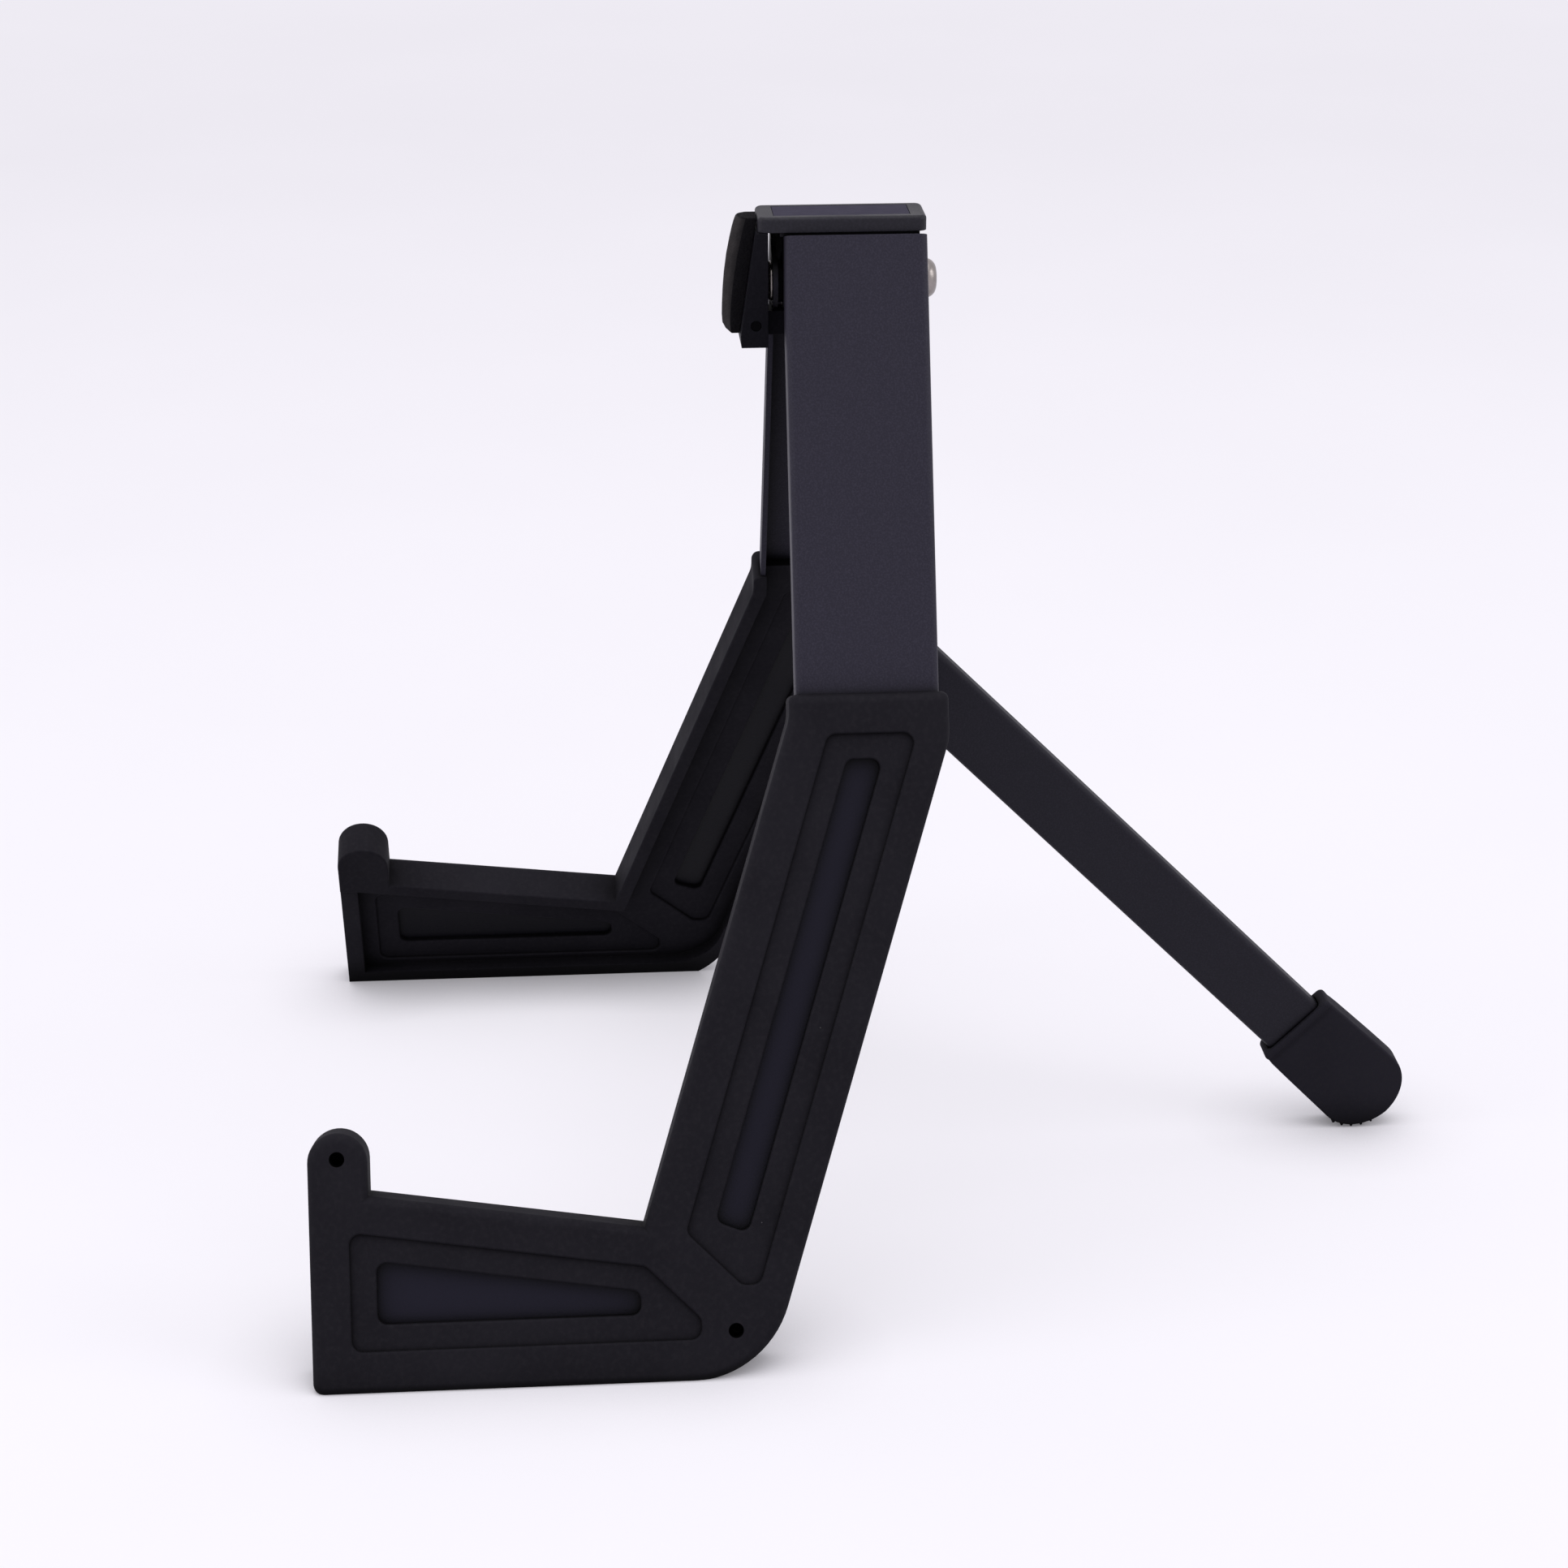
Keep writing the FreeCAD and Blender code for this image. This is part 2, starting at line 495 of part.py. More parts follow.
def leg_channel(name, shift):
    """Upper channel with hinge ears, and the flat steel core of the lower leg, foot and horn."""
    body = new_body(name)
    flange_end = f"(-{COVER_DROP} - sizes.cover_overlap)"
    flange_face = "(sizes.channel_reach - sizes.channel_depth)"
    block = rectangle(
        body, f"{name}_block", "XY_Plane", (flange_face, f"-{PLATE_HALF}"),
        ("sizes.channel_reach", PLATE_HALF), flange_end,
    )
    feature = pad(body, block, f"(sizes.plate_rise - {flange_end})")
    corners = numbers([("sizes.channel_reach", f"-{PLATE_HALF}"), ("sizes.channel_reach", PLATE_HALF)])
    rounded(body, feature, edges_along(feature.Shape, "z", corners), "sizes.bend_round")
    inside = rectangle(
        body, f"{name}_inside", "XY_Plane", (f"({flange_face} - sizes.sheet_gauge)", f"-{EAR_FACE}"),
        (PLATE_INNER, EAR_FACE),
    )
    feature = pocket(body, inside)
    corners = numbers([(PLATE_INNER, f"-{EAR_FACE}"), (PLATE_INNER, EAR_FACE)])
    inner_bend = "(sizes.bend_round - sizes.sheet_gauge)"
    rounded(body, feature, edges_along(feature.Shape, "z", corners), inner_bend)

    core = leg_outline("sizes.cover_margin", "sizes.toe_wall", "sizes.sole_rise", flange_end)
    plate = polygon(body, f"{name}_core", "YZ_Plane", list(core.values()), PLATE_INNER)
    feature = pad(body, plate, "sizes.sheet_gauge")
    heel = edges_along(feature.Shape, "x", numbers([core["heel"]]))
    rounded(body, feature, heel, "(sizes.heel_round - sizes.sole_rise)")
    tongue_half = "(sizes.horn_core / 2)"
    tongue = rectangle(
        body, f"{name}_tongue", "YZ_Plane",
        (f"({HORN_Y} - {tongue_half})", arm_line("(2 * sizes.cover_margin)", HORN_Y)),
        (f"({HORN_Y} + {tongue_half})", HORN_HOLE[1]), PLATE_INNER,
    )
    pad(body, tongue, "sizes.sheet_gauge")
    tip = circles(body, f"{name}_tip", "YZ_Plane", [HORN_HOLE], [tongue_half], PLATE_INNER)
    pad(body, tip, "sizes.sheet_gauge")

    ear_reach = "(sizes.channel_reach - sizes.channel_depth / 2)"
    for label, offset, inwards in (("front", PLATE_HALF, True), ("rear", f"-{PLATE_HALF}", False)):
        web = rectangle(
            body, f"{name}_{label}_web", "XZ_Plane", ("0", "-sizes.ear_round"),
            (ear_reach, "sizes.ear_round"), offset,
        )
        pad(body, web, "sizes.sheet_gauge", reverse=inwards)
        ear = circles(body, f"{name}_{label}_ear", "XZ_Plane", [("0", "0")], ["sizes.ear_round"], offset)
        pad(body, ear, "sizes.sheet_gauge", reverse=inwards)
    bore = circles(body, f"{name}_bore", "XZ_Plane", [("0", "0")], [HINGE_BORE])
    pocket(body, bore)
    holes = circles(body, f"{name}_holes", "YZ_Plane", [HORN_HOLE, heel_hole()], [MOULD_BORE, MOULD_BORE])
    pocket(body, holes)
    place_as_leg(body, shift)
    return body


# Rubber leg covers


def cover_block(name):
    """Outside of a leg's cover: leg, foot and horn with rounded edges."""
    body = new_body(name)
    outline = leg_outline("0", "0", "0", f"(-{COVER_DROP})")
    block = polygon(body, f"{name}_outline", "YZ_Plane", list(outline.values()), RIM_FACE)
    pad(body, block, "sizes.cover_depth")
    horn_half = "(sizes.horn_width / 2)"
    post = rectangle(
        body, f"{name}_post", "YZ_Plane",
        (f"({HORN_Y} - {horn_half})", arm_line("(2 * sizes.cover_margin)", HORN_Y)),
        (f"({HORN_Y} + {horn_half})", HORN_Z), RIM_FACE,
    )
    pad(body, post, "sizes.cover_depth")
    crown = circles(body, f"{name}_crown", "YZ_Plane", [(HORN_Y, HORN_Z)], [horn_half], RIM_FACE)
    feature = pad(body, crown, "sizes.cover_depth")
    for corner, radius in (
        ("heel", "sizes.heel_round"), ("toe", "sizes.toe_round"),
        ("bend_front", "sizes.bend_sweep"), ("bend_back", "sizes.bend_sweep"),
        ("top_front", "sizes.mouth_round"), ("top_back", "sizes.mouth_round"),
    ):
        edges = edges_along(feature.Shape, "x", numbers([outline[corner]]))
        feature = rounded(body, feature, edges, radius)
    outer = edges_at_level(feature.Shape, "x", value(COVER_FACE))
    feature = rounded(body, feature, outer, "sizes.cover_round")
    rim = edges_at_level(feature.Shape, "x", value(RIM_FACE))
    rounded(body, feature, rim, "sizes.rim_round")
    return body


def sink(body, name, points, level, depth, radius, reverse):
    """Sinks a panel with rounded corners and a rounded edge into a face across x."""
    sketch = polygon(body, name, "YZ_Plane", points, level)
    feature = pocket(body, sketch, depth, reverse=reverse)
    floor = value(level) + (1 if reverse else -1) * value(depth)
    places = numbers(points)
    found = []
    for edge in edges_along(feature.Shape, "x", places):
        box = feature.Shape.getElement(edge).BoundBox
        if min(abs(box.XMin - floor), abs(box.XMax - floor)) < 0.01:
            found.append(edge)
            brim = box.XMin if reverse else box.XMax
    feature = rounded(body, feature, found, radius)
    corners = [FreeCAD.Vector(brim, y, z) for y, z in places]
    outline = Part.makePolygon(corners + corners[:1])
    edges = []
    for label in edges_at_level(feature.Shape, "x", brim):
        edge = feature.Shape.getElement(label)
        middle = edge.valueAt((edge.FirstParameter + edge.LastParameter) / 2)
        if outline.distToShape(Part.Vertex(middle))[0] < value(radius) / 2:
            edges.append(label)
    return rounded(body, feature, edges, "sizes.panel_edge")


def leg_cover(name, channel, shift):
    """A leg's rubber cover, moulded round the channel's lower end."""
    body = cover_block(f"{name}_form")
    above = f"(-{COVER_DROP} + sizes.cover_margin)"
    pan = leg_outline("sizes.rim_width", "sizes.toe_wall", "sizes.sole_rise", above)
    heel_end, sole_end = foot_window()[1:3]
    window_end = f"(sizes.foot_window_round * ({heel_end[1]} - {sole_end[1]}))"
    hollow = polygon(body, f"{name}_pan", "YZ_Plane", list(pan.values()), RIM_FACE)
    feature = pocket(body, hollow, f"({LINING_FACE} - {RIM_FACE})", reverse=True)
    heel = edges_along(feature.Shape, "x", numbers([pan["heel"]]))
    rounded(body, feature, heel, "(sizes.heel_round - sizes.sole_rise)")
    step = polygon(body, f"{name}_step", "YZ_Plane", lower_rim(pan["arm_front"], pan["cradle"]), RIM_FACE)
    pocket(body, step, "sizes.toe_step", reverse=True)

    for side, level, reverse, skin in (
        ("outer", COVER_FACE, False, "sizes.cover_skin"),
        ("inner", LINING_FACE, True, "sizes.cover_lining"),
    ):
        for label, points, depth, radius in (
            ("foot", foot_panel(), "sizes.recess_depth", "sizes.recess_round"),
            ("leg", leg_panel(), "sizes.recess_depth", "sizes.recess_round"),
            ("foot_window", foot_window(), skin, window_end),
            ("leg_window", leg_window(), skin, "sizes.window_round"),
        ):
            sink(body, f"{name}_{side}_{label}", points, level, depth, radius, reverse)
    for label, place, depth in (
        ("horn", HORN_HOLE, "(sizes.cover_depth * 0.75)"),
        ("heel", heel_hole(), f"({COVER_FACE} - {LINING_FACE} - sizes.cover_lining / 2)"),
    ):
        hole = circles(body, f"{name}_{label}_hole", "YZ_Plane", [place], [MOULD_BORE], COVER_FACE)
        pocket(body, hole, depth)

    far = "(sizes.foot_drop * 1.2)"
    beyond = "(2 * sizes.channel_reach)"

    def floor(x):
        return f"(-({HINGE_Z} + {x} * sin(sizes.leg_splay)) / cos(sizes.leg_splay))"

    below = (("0", floor("0")), (beyond, floor(beyond)), (beyond, f"-{far}"), ("0", f"-{far}"))
    sole = polygon(body, f"{name}_sole", "XZ_Plane", below)
    pocket(body, sole)
    place_as_leg(body, shift)

    cover = doc.addObject("Part::Cut", name)
    cover.Label = name
    cover.Base = body
    cover.Tool = channel
    return cover


# Hinge


def hinge_rivet():
    """Domed rivet that carries both legs, front to back through the head."""
    body = new_body("hinge_rivet")
    centre = [("0", "0")]
    seat = f"({PLATE_HALF} + {NEST} / 2 + sizes.ear_relief)"
    shank = circles(body, "hinge_shank", "XZ_Plane", centre, ["sizes.hinge_pin_radius"])
    pad(body, shank, f"(2 * {seat})", symmetric=True)
    front = circles(body, "hinge_front_head", "XZ_Plane", centre, ["sizes.hinge_head_radius"], seat)
    pad(body, front, "sizes.hinge_tail_height")
    rear = circles(body, "hinge_rear_head", "XZ_Plane", centre, ["sizes.hinge_head_radius"], f"-{seat}")
    feature = pad(body, rear, "sizes.hinge_head_height", reverse=True)
    rear_rim = edges_at_level(feature.Shape, "y", value(f"({seat} + sizes.hinge_head_height)"))
    feature = rounded(body, feature, rear_rim, "(sizes.hinge_head_height * 0.9)")
    front_rim = edges_at_level(feature.Shape, "y", -value(f"({seat} + sizes.hinge_tail_height)"))
    rounded(body, feature, front_rim, "(sizes.hinge_tail_height * 0.8)")
    place_at_hinge(body)
    return body


def ring(name, radius, bore, start, length):
    """A ring round the hinge axis that starts at a distance in front of the midline."""
    body = new_body(name)
    sketch = circles(body, f"{name}_ring", "XZ_Plane", [("0", "0"), ("0", "0")], [radius, bore], start)
    pad(body, sketch, length)
    place_at_hinge(body)
    return body


def ring_pair(name, start, length):
    """A ring on the hinge rivet in front of the midline and its mirror image behind it."""
    front = ring(f"{name}_front", "sizes.collar_radius", HINGE_BORE, start, length)
    rear = mirrored(f"{name}_rear", front, REAR, MIDLINE_Y)
    return grouped(f"{name}s", [front, rear])


def hinge_spacer():
    length = "(sizes.spine_depth - 2 * sizes.spine_wall)"
    radius = "(sizes.hinge_pin_radius + sizes.spine_wall)"
    return ring("hinge_spacer", radius, HINGE_BORE, f"(-{length} / 2)", length)


def hinge_collars():
    """Two plain collars between the spine and the inner ears."""
    start = f"({SPINE_HALF} + sizes.ear_relief / 2)"
    length = f"({EAR_FACE} - {NEST} / 2 - sizes.ear_relief - {SPINE_HALF})"
    return ring_pair("hinge_collar", start, length)


def hinge_washers():
    """Two washers between the ears of the two legs."""
    return ring_pair("hinge_washer", f"({PLATE_HALF} - {NEST} / 2 + sizes.ear_relief)", "sizes.hinge_washer")


# Head


def spine():
    """Upright tube that hangs from the hinge and holds the rear leg between its cheeks."""
    body = new_body("spine_tube")
    half_width = "(sizes.spine_width / 2)"
    tail = f"(-{PIVOT_DROP} - sizes.spine_tail)"
    outer = rectangle(
        body, "spine_outer", "XY_Plane", (f"-{half_width}", f"-{SPINE_HALF}"), (half_width, SPINE_HALF), tail,
    )
    feature = pad(body, outer, f"(sizes.spine_rise - {tail})")
    corners = [(x * value(half_width), y * value(SPINE_HALF)) for x in (-1, 1) for y in (-1, 1)]
    rounded(body, feature, edges_along(feature.Shape, "z", corners), "sizes.spine_wall")
    bore_y = f"({SPINE_HALF} - sizes.spine_wall)"
    inner = rectangle(
        body, "spine_inner", "XY_Plane", (f"-{CHEEK_INNER}", f"-{bore_y}"), (CHEEK_INNER, bore_y),
    )
    pocket(body, inner)
    apart = "(sizes.rear_tube_width / 2 + sizes.stop_gap)"
    contact = f"({apart} - cos({REAR_OPEN}) * ({bore_y} - {PIVOT_BACK})) / sin({REAR_OPEN})"
    notch_top = f"(-{PIVOT_DROP} + {contact})"
    notch = rectangle(
        body, "spine_notch", "XZ_Plane", (f"-{CHEEK_INNER}", tail), (CHEEK_INNER, notch_top), f"-{bore_y}",
    )
    pocket(body, notch, "(sizes.spine_wall * 2)")
    pocket(body, circles(body, "spine_hinge_bore", "XZ_Plane", [("0", "0")], [HINGE_BORE]))
    cheek = circles(
        body, "spine_cheek_bores", "YZ_Plane", [(PIVOT_BACK, f"-{PIVOT_DROP}"), rear_stop_place()],
        [PIVOT_BORE, STOP_BORE],
    )
    pocket(body, cheek)
    lugs = circles(body, "spine_lug_bores", "XZ_Plane", lug_rivet_places(), [RIVET_BORE, RIVET_BORE])
    pocket(body, lugs, SPINE_HALF, reverse=True)
    place_at_hinge(body)
    return body


def rear_stop_place():
    """Where the stop pin meets the front of the rear leg folded along the lower legs."""
    y = f"(-{SPINE_HALF} + sizes.spine_wall + 2 * sizes.rear_stop_radius)"
    apart = "(sizes.rear_tube_width / 2 + sizes.rear_stop_radius + sizes.stop_gap)"
    rise = f"({apart} + cos(sizes.lower_lean) * ({y} - {PIVOT_BACK})) / sin(sizes.lower_lean)"
    return y, f"({rise} - {PIVOT_DROP})"


def lug_rivet_places():
    upper = f"({LUG_FOOT} - sizes.rivet_head)"
    lower = "(-sizes.lug_top - sizes.lug_base_length + sizes.rivet_head)"
    return [("0", upper), ("0", lower)]


def screw_places():
    return [("0", "(sizes.screw_pitch / 2)"), ("0", "(-sizes.screw_pitch / 2)")]


def head_plate():
    """Steel plate on the spine's top end, under the cap; the open legs stop against its edges."""
    body = new_body("head_plate")
    end = "(sizes.head_length / 2)"
    corners = (f"-{HEAD_HALF}", f"-{end}"), (HEAD_HALF, end)
    outline = rectangle(body, "head_outline", "XY_Plane", *corners, "sizes.spine_rise")
    pad(body, outline, "sizes.head_gauge")
    bores = circles(body, "head_bores", "XY_Plane", screw_places(), [SCREW_BORE, SCREW_BORE])
    pocket(body, bores)
    place_at_hinge(body)
    return body


def top_cap():
    """Plastic cap over the head, with a shallow seat for a bare plate."""
    body = new_body("top_cap")
    half = "(sizes.cap_width / 2)"
    outline = rectangle(
        body, "cap_outline", "XY_Plane", (f"-{half}", "-sizes.cap_front"), (half, "sizes.cap_back"), HEAD_TOP,
    )
    feature = pad(body, outline, "sizes.cap_height")
    ends = (-value("sizes.cap_front"), value("sizes.cap_back"))
    corners = [(x * value(half), y) for x in (-1, 1) for y in ends]
    feature = rounded(body, feature, edges_along(feature.Shape, "z", corners), "sizes.cap_corner")
    crown = value(f"({HEAD_TOP} + sizes.cap_height)")
    rounded(body, feature, edges_at_level(feature.Shape, "z", crown), "sizes.cap_round")
    seat = badge_outline(body, "cap_seat", "(sizes.badge_width / 2 + sizes.ear_relief)", "sizes.ear_relief")
    pocket(body, seat, "sizes.badge_gauge")
    bores = circles(body, "cap_bores", "XY_Plane", screw_places(), [SCREW_BORE, SCREW_BORE], HEAD_TOP)
    pocket(body, bores, "(sizes.screw_grip + sizes.stop_gap)", reverse=True)
    place_at_hinge(body)
    return body


def badge_outline(body, name, half, grow):
    middle = "((sizes.cap_back - sizes.cap_front) / 2)"
    reach = "(sizes.badge_length / 2)"
    level = f"({HEAD_TOP} + sizes.cap_height)"
    low = (f"-{half}", f"({middle} - {reach} - {grow})")
    high = (half, f"({middle} + {reach} + {grow})")
    return rectangle(body, name, "XY_Plane", low, high, level)


def cap_badge():
    """Bare plate set flush into the cap."""
    body = new_body("cap_badge")
    outline = badge_outline(body, "badge_outline", "(sizes.badge_width / 2)", "0")
    pad(body, outline, "sizes.badge_gauge", reverse=True)
    place_at_hinge(body)
    return body


def cap_screws():
    """Two screws up through the head plate into the cap."""
    body = new_body("cap_screw_rear")
    place = screw_places()[:1]
    head = circles(body, "screw_head_disc", "XY_Plane", place, ["sizes.screw_head"], "sizes.spine_rise")
    pad(body, head, "sizes.screw_radius", reverse=True)
    shank = circles(body, "screw_shank", "XY_Plane", place, ["sizes.screw_radius"], "sizes.spine_rise")
    pad(body, shank, "(sizes.head_gauge + sizes.screw_grip)")
    place_at_hinge(body)
    other = mirrored("cap_screw_front", body, REAR, MIDLINE_Y)
    return grouped("cap_screws", [body, other])


def pad_bracket():
    """Steel bracket on the spine's front whose tongue carries the pad carrier between the legs."""
    body = new_body("pad_bracket")
    half = "(sizes.lug_width / 2)"
    base = rectangle(
        body, "lug_base", "XZ_Plane", (f"-{half}", "(-sizes.lug_top - sizes.lug_base_length)"),
        (half, "-sizes.lug_top"), SPINE_HALF,
    )
    pad(body, base, "sizes.lug_gauge")
    tongue = rectangle(
        body, "lug_tongue", "XZ_Plane", (f"-{half}", LUG_FOOT), (half, "-sizes.lug_top"), SPINE_HALF,
    )
    pad(body, tongue, f"(sizes.lug_tip - {SPINE_HALF})")
    bore = circles(body, "lug_bore", "YZ_Plane", [carrier_pin_place()], [CARRIER_BORE])
    pocket(body, bore)
    rivets = circles(
        body, "lug_rivet_bores", "XZ_Plane", lug_rivet_places(), [RIVET_BORE, RIVET_BORE], SPINE_HALF,
    )
    pocket(body, rivets, "sizes.lug_gauge", reverse=True)
    place_at_hinge(body)
    return body


def bracket_rivets():
    """Two rivets that hold the pad bracket on the spine."""
    members = []
    for label, place in zip(("upper", "lower"), lug_rivet_places()):
        body = new_body(f"bracket_rivet_{label}")
        inner = f"({SPINE_HALF} - sizes.spine_wall)"
        outer = f"({SPINE_HALF} + sizes.lug_gauge)"
        shank = circles(body, f"rivet_{label}_shank", "XZ_Plane", [place], ["sizes.rivet_radius"], inner)
        pad(body, shank, f"({outer} - {inner})")
        head = circles(body, f"rivet_{label}_head", "XZ_Plane", [place], ["sizes.rivet_head"], outer)
        pad(body, head, "sizes.rivet_crown")
        tail = circles(body, f"rivet_{label}_tail", "XZ_Plane", [place], ["sizes.rivet_head"], inner)
        pad(body, tail, "sizes.rivet_crown", reverse=True)
        place_at_hinge(body)
        members.append(body)
    return grouped("bracket_rivets", members)


def carrier_pin_place():
    return "(-sizes.carrier_front)", "(-sizes.lug_top - sizes.lug_height / 2 + sizes.carrier_pin_radius / 4)"


def pad_carrier():
    """Plastic carrier on the bracket's tongue, tucked under the cap's front."""
    body = new_body("pad_carrier")
    top = f"({HEAD_TOP} - sizes.ear_relief)"
    points = (
        ("-sizes.carrier_front", top),
        (CARRIER_CHIN_Y, "-sizes.carrier_chin"),
        (f"({CARRIER_CHIN_Y} + sizes.stop_gap)", "-sizes.carrier_foot"),
        ("-sizes.carrier_back", "-sizes.carrier_foot"),
        ("-sizes.carrier_back", top),
    )
    profile = polygon(body, "carrier_profile", "YZ_Plane", points)
    pad(body, profile, "sizes.carrier_width", symmetric=True)
    half = "(sizes.lug_width / 2 + sizes.ear_relief)"
    slot = rectangle(
        body, "carrier_slot", "XZ_Plane", (f"-{half}", f"({LUG_FOOT} - sizes.ear_relief)"),
        (half, "(-sizes.lug_top + sizes.ear_relief)"), "sizes.carrier_back",
    )
    pocket(body, slot, "(sizes.lug_tip - sizes.carrier_back + sizes.ear_relief)", reverse=True)
    bore = circles(body, "carrier_bore", "YZ_Plane", [carrier_pin_place()], [CARRIER_BORE])
    pocket(body, bore)
    place_at_hinge(body)
    return body


def carrier_pin():
    body = new_body("carrier_pin")
    place = carrier_pin_place()
    sketch = circles(body, "carrier_pin_disc", "YZ_Plane", [place], ["sizes.carrier_pin_radius"])
    pad(body, sketch, "(sizes.carrier_width - 2 * sizes.stop_gap)", symmetric=True)
    place_at_hinge(body)
    return body


def back_pad():
    """Foam pad with a crowned front on the carrier's leaning face."""
    body = new_body("back_pad")
    half = "(sizes.pad_width / 2)"
    sketch = sketch_on(body, "pad_section", "XY_Plane", "0")
    shoulder = f"({half} - sizes.pad_crown)"
    corners = [(half, shoulder), (half, "0"), (f"-{half}", "0"), (f"-{half}", shoulder)]
    points = [FreeCAD.Vector(value(x), value(y), 0) for x, y in corners]
    for start, end in zip(points, points[1:]):
        sketch.addGeometry(Part.LineSegment(start, end), False)
    crown = FreeCAD.Vector(0, -value("sizes.pad_crown"), 0)
    arc = sketch.addGeometry(Part.Arc(points[3], crown, points[0]), False)
    sketch.addConstraint(Sketcher.Constraint("Coincident", 0, 2, 1, 1))
    sketch.addConstraint(Sketcher.Constraint("Coincident", 1, 2, 2, 1))
    sketch.addConstraint(Sketcher.Constraint("Coincident", 2, 2, arc, 1))
    sketch.addConstraint(Sketcher.Constraint("Coincident", 0, 1, arc, 2))
    pin_point(sketch, 0, 1, corners[0])
    pin_point(sketch, 1, 1, corners[1])
    pin_point(sketch, 2, 1, corners[2])
    pin_point(sketch, 2, 2, corners[3])
    bound = sketch.addConstraint(Sketcher.Constraint("DistanceY", -1, 1, arc, 3, value(shoulder)))
    sketch.setExpression(f"Constraints[{bound}]", shoulder)
    feature = pad(body, sketch, "sizes.pad_length")
    ends = []
    for level in (0.0, value("sizes.pad_length")):
        for edge in edges_at_level(feature.Shape, "z", level):
            if feature.Shape.getElement(edge).BoundBox.YMin < -0.1:
                ends.append(edge)
    rounded(body, feature, ends, "sizes.pad_round")
    seat_y = f"({MIDLINE_Y} + {CARRIER_CHIN_Y} - sizes.ear_relief)"
    bind_place(body, ("0", seat_y, f"({HINGE_Z} - sizes.carrier_chin)"), SIDE, "-sizes.pad_lean")
    return body


# Rear leg, drawn hanging straight down from its pivot


def flat_bar(body, name, half, thick, low, radius):
    """A flat bar from its round end at the pivot down to a level, with rounded long edges."""
    shaft = rectangle(body, f"{name}_shaft", "YZ_Plane", (f"-{half}", low), (half, "0"))
    pad(body, shaft, f"(2 * {thick})", symmetric=True)
    end = circles(body, f"{name}_end", "YZ_Plane", [("0", "0")], [half])
    feature = pad(body, end, f"(2 * {thick})", symmetric=True)
    edges = []
    for level in (-value(thick), value(thick)):
        for edge in edges_at_level(feature.Shape, "x", level):
            if feature.Shape.getElement(edge).BoundBox.ZMax > value(low) + 1.0:
                edges.append(edge)
    return rounded(body, feature, edges, radius)


def rear_leg_tube():
    """Flat tube with a round upper end and a bore for its pivot."""
    body = new_body("rear_leg_tube")
    half = "(sizes.rear_tube_width / 2)"
    thick = "(sizes.rear_tube_thick / 2)"
    flat_bar(body, "tube", half, thick, "(sizes.boot_seat - sizes.rear_leg_length)", "sizes.rear_tube_round")
    bore_x = f"({thick} - sizes.rear_tube_wall)"
    bore_y = f"({half} - sizes.rear_tube_wall)"
    inner = rectangle(body, "tube_inner", "XY_Plane", (f"-{bore_x}", f"-{bore_y}"), (bore_x, bore_y))
    pocket(body, inner)
    pivot_bores(body, "tube")
    place_as_rear_leg(body)
    return body


def insert_rivet_place():
    return "0", "(3 * sizes.rivet_radius - sizes.insert_length)"


def pivot_bores(body, name):
    """Bores of the pivot pin and of the insert's rivet."""
    places = [("0", "0"), insert_rivet_place()]
    pocket(body, circles(body, f"{name}_bores", "YZ_Plane", places, [PIVOT_BORE, RIVET_BORE]))


def rear_leg_insert():
    """Solid insert that stiffens the tube round its pivot."""
    body = new_body("rear_leg_insert")
    half = "(sizes.rear_tube_width / 2 - sizes.rear_tube_wall - sizes.running_fit)"
    thick = "(sizes.rear_tube_thick / 2 - sizes.rear_tube_wall - sizes.running_fit)"
    shaft = rectangle(body, "insert_shaft", "YZ_Plane", (f"-{half}", "-sizes.insert_length"), (half, "0"))
    pad(body, shaft, f"(2 * {thick})", symmetric=True)
    end = circles(body, "insert_end", "YZ_Plane", [("0", "0")], [half])
    pad(body, end, f"(2 * {thick})", symmetric=True)
    pivot_bores(body, "insert")
    place_as_rear_leg(body)
    return body


def cross_rivet(name, place, radius, head_radius, crown, seat):
    """A rivet across the stand with a head at either side."""
    body = new_body(name)
    pad(body, circles(body, f"{name}_shank", "YZ_Plane", [place], [radius]), f"(2 * {seat})", symmetric=True)
    for label, offset, reverse in (("right", seat, False), ("left", f"-{seat}", True)):
        head = circles(body, f"{name}_{label}_head", "YZ_Plane", [place], [head_radius], offset)
        feature = pad(body, head, crown, reverse=reverse)
    end = value(f"({seat} + {crown})")
    rims = edges_at_level(feature.Shape, "x", end) + edges_at_level(feature.Shape, "x", -end)
    rounded(body, feature, rims, f"({crown} * 0.8)")
    return body


def insert_rivet():
    body = cross_rivet(
        "insert_rivet", insert_rivet_place(), "sizes.rivet_radius", "(sizes.rivet_radius * 1.5)",
        "(sizes.rivet_radius / 4)", "(sizes.rear_tube_thick / 2)",
    )
    place_as_rear_leg(body)
    return body


def rear_pivot_pin():
    place = (PIVOT_BACK, f"-{PIVOT_DROP}")
    body = cross_rivet(
        "rear_pivot_pin", place, "sizes.rear_pin_radius", "sizes.rear_pin_head", "sizes.rear_pin_crown",
        "(sizes.spine_width / 2)",
    )
    place_at_hinge(body)
    return body


def rear_stop_pin():
    body = cross_rivet(
        "rear_stop_pin", rear_stop_place(), "sizes.rear_stop_radius", "(sizes.rear_stop_radius * 1.5)",
        "(sizes.rear_pin_crown / 2)", "(sizes.spine_width / 2)",
    )
    place_at_hinge(body)
    return body


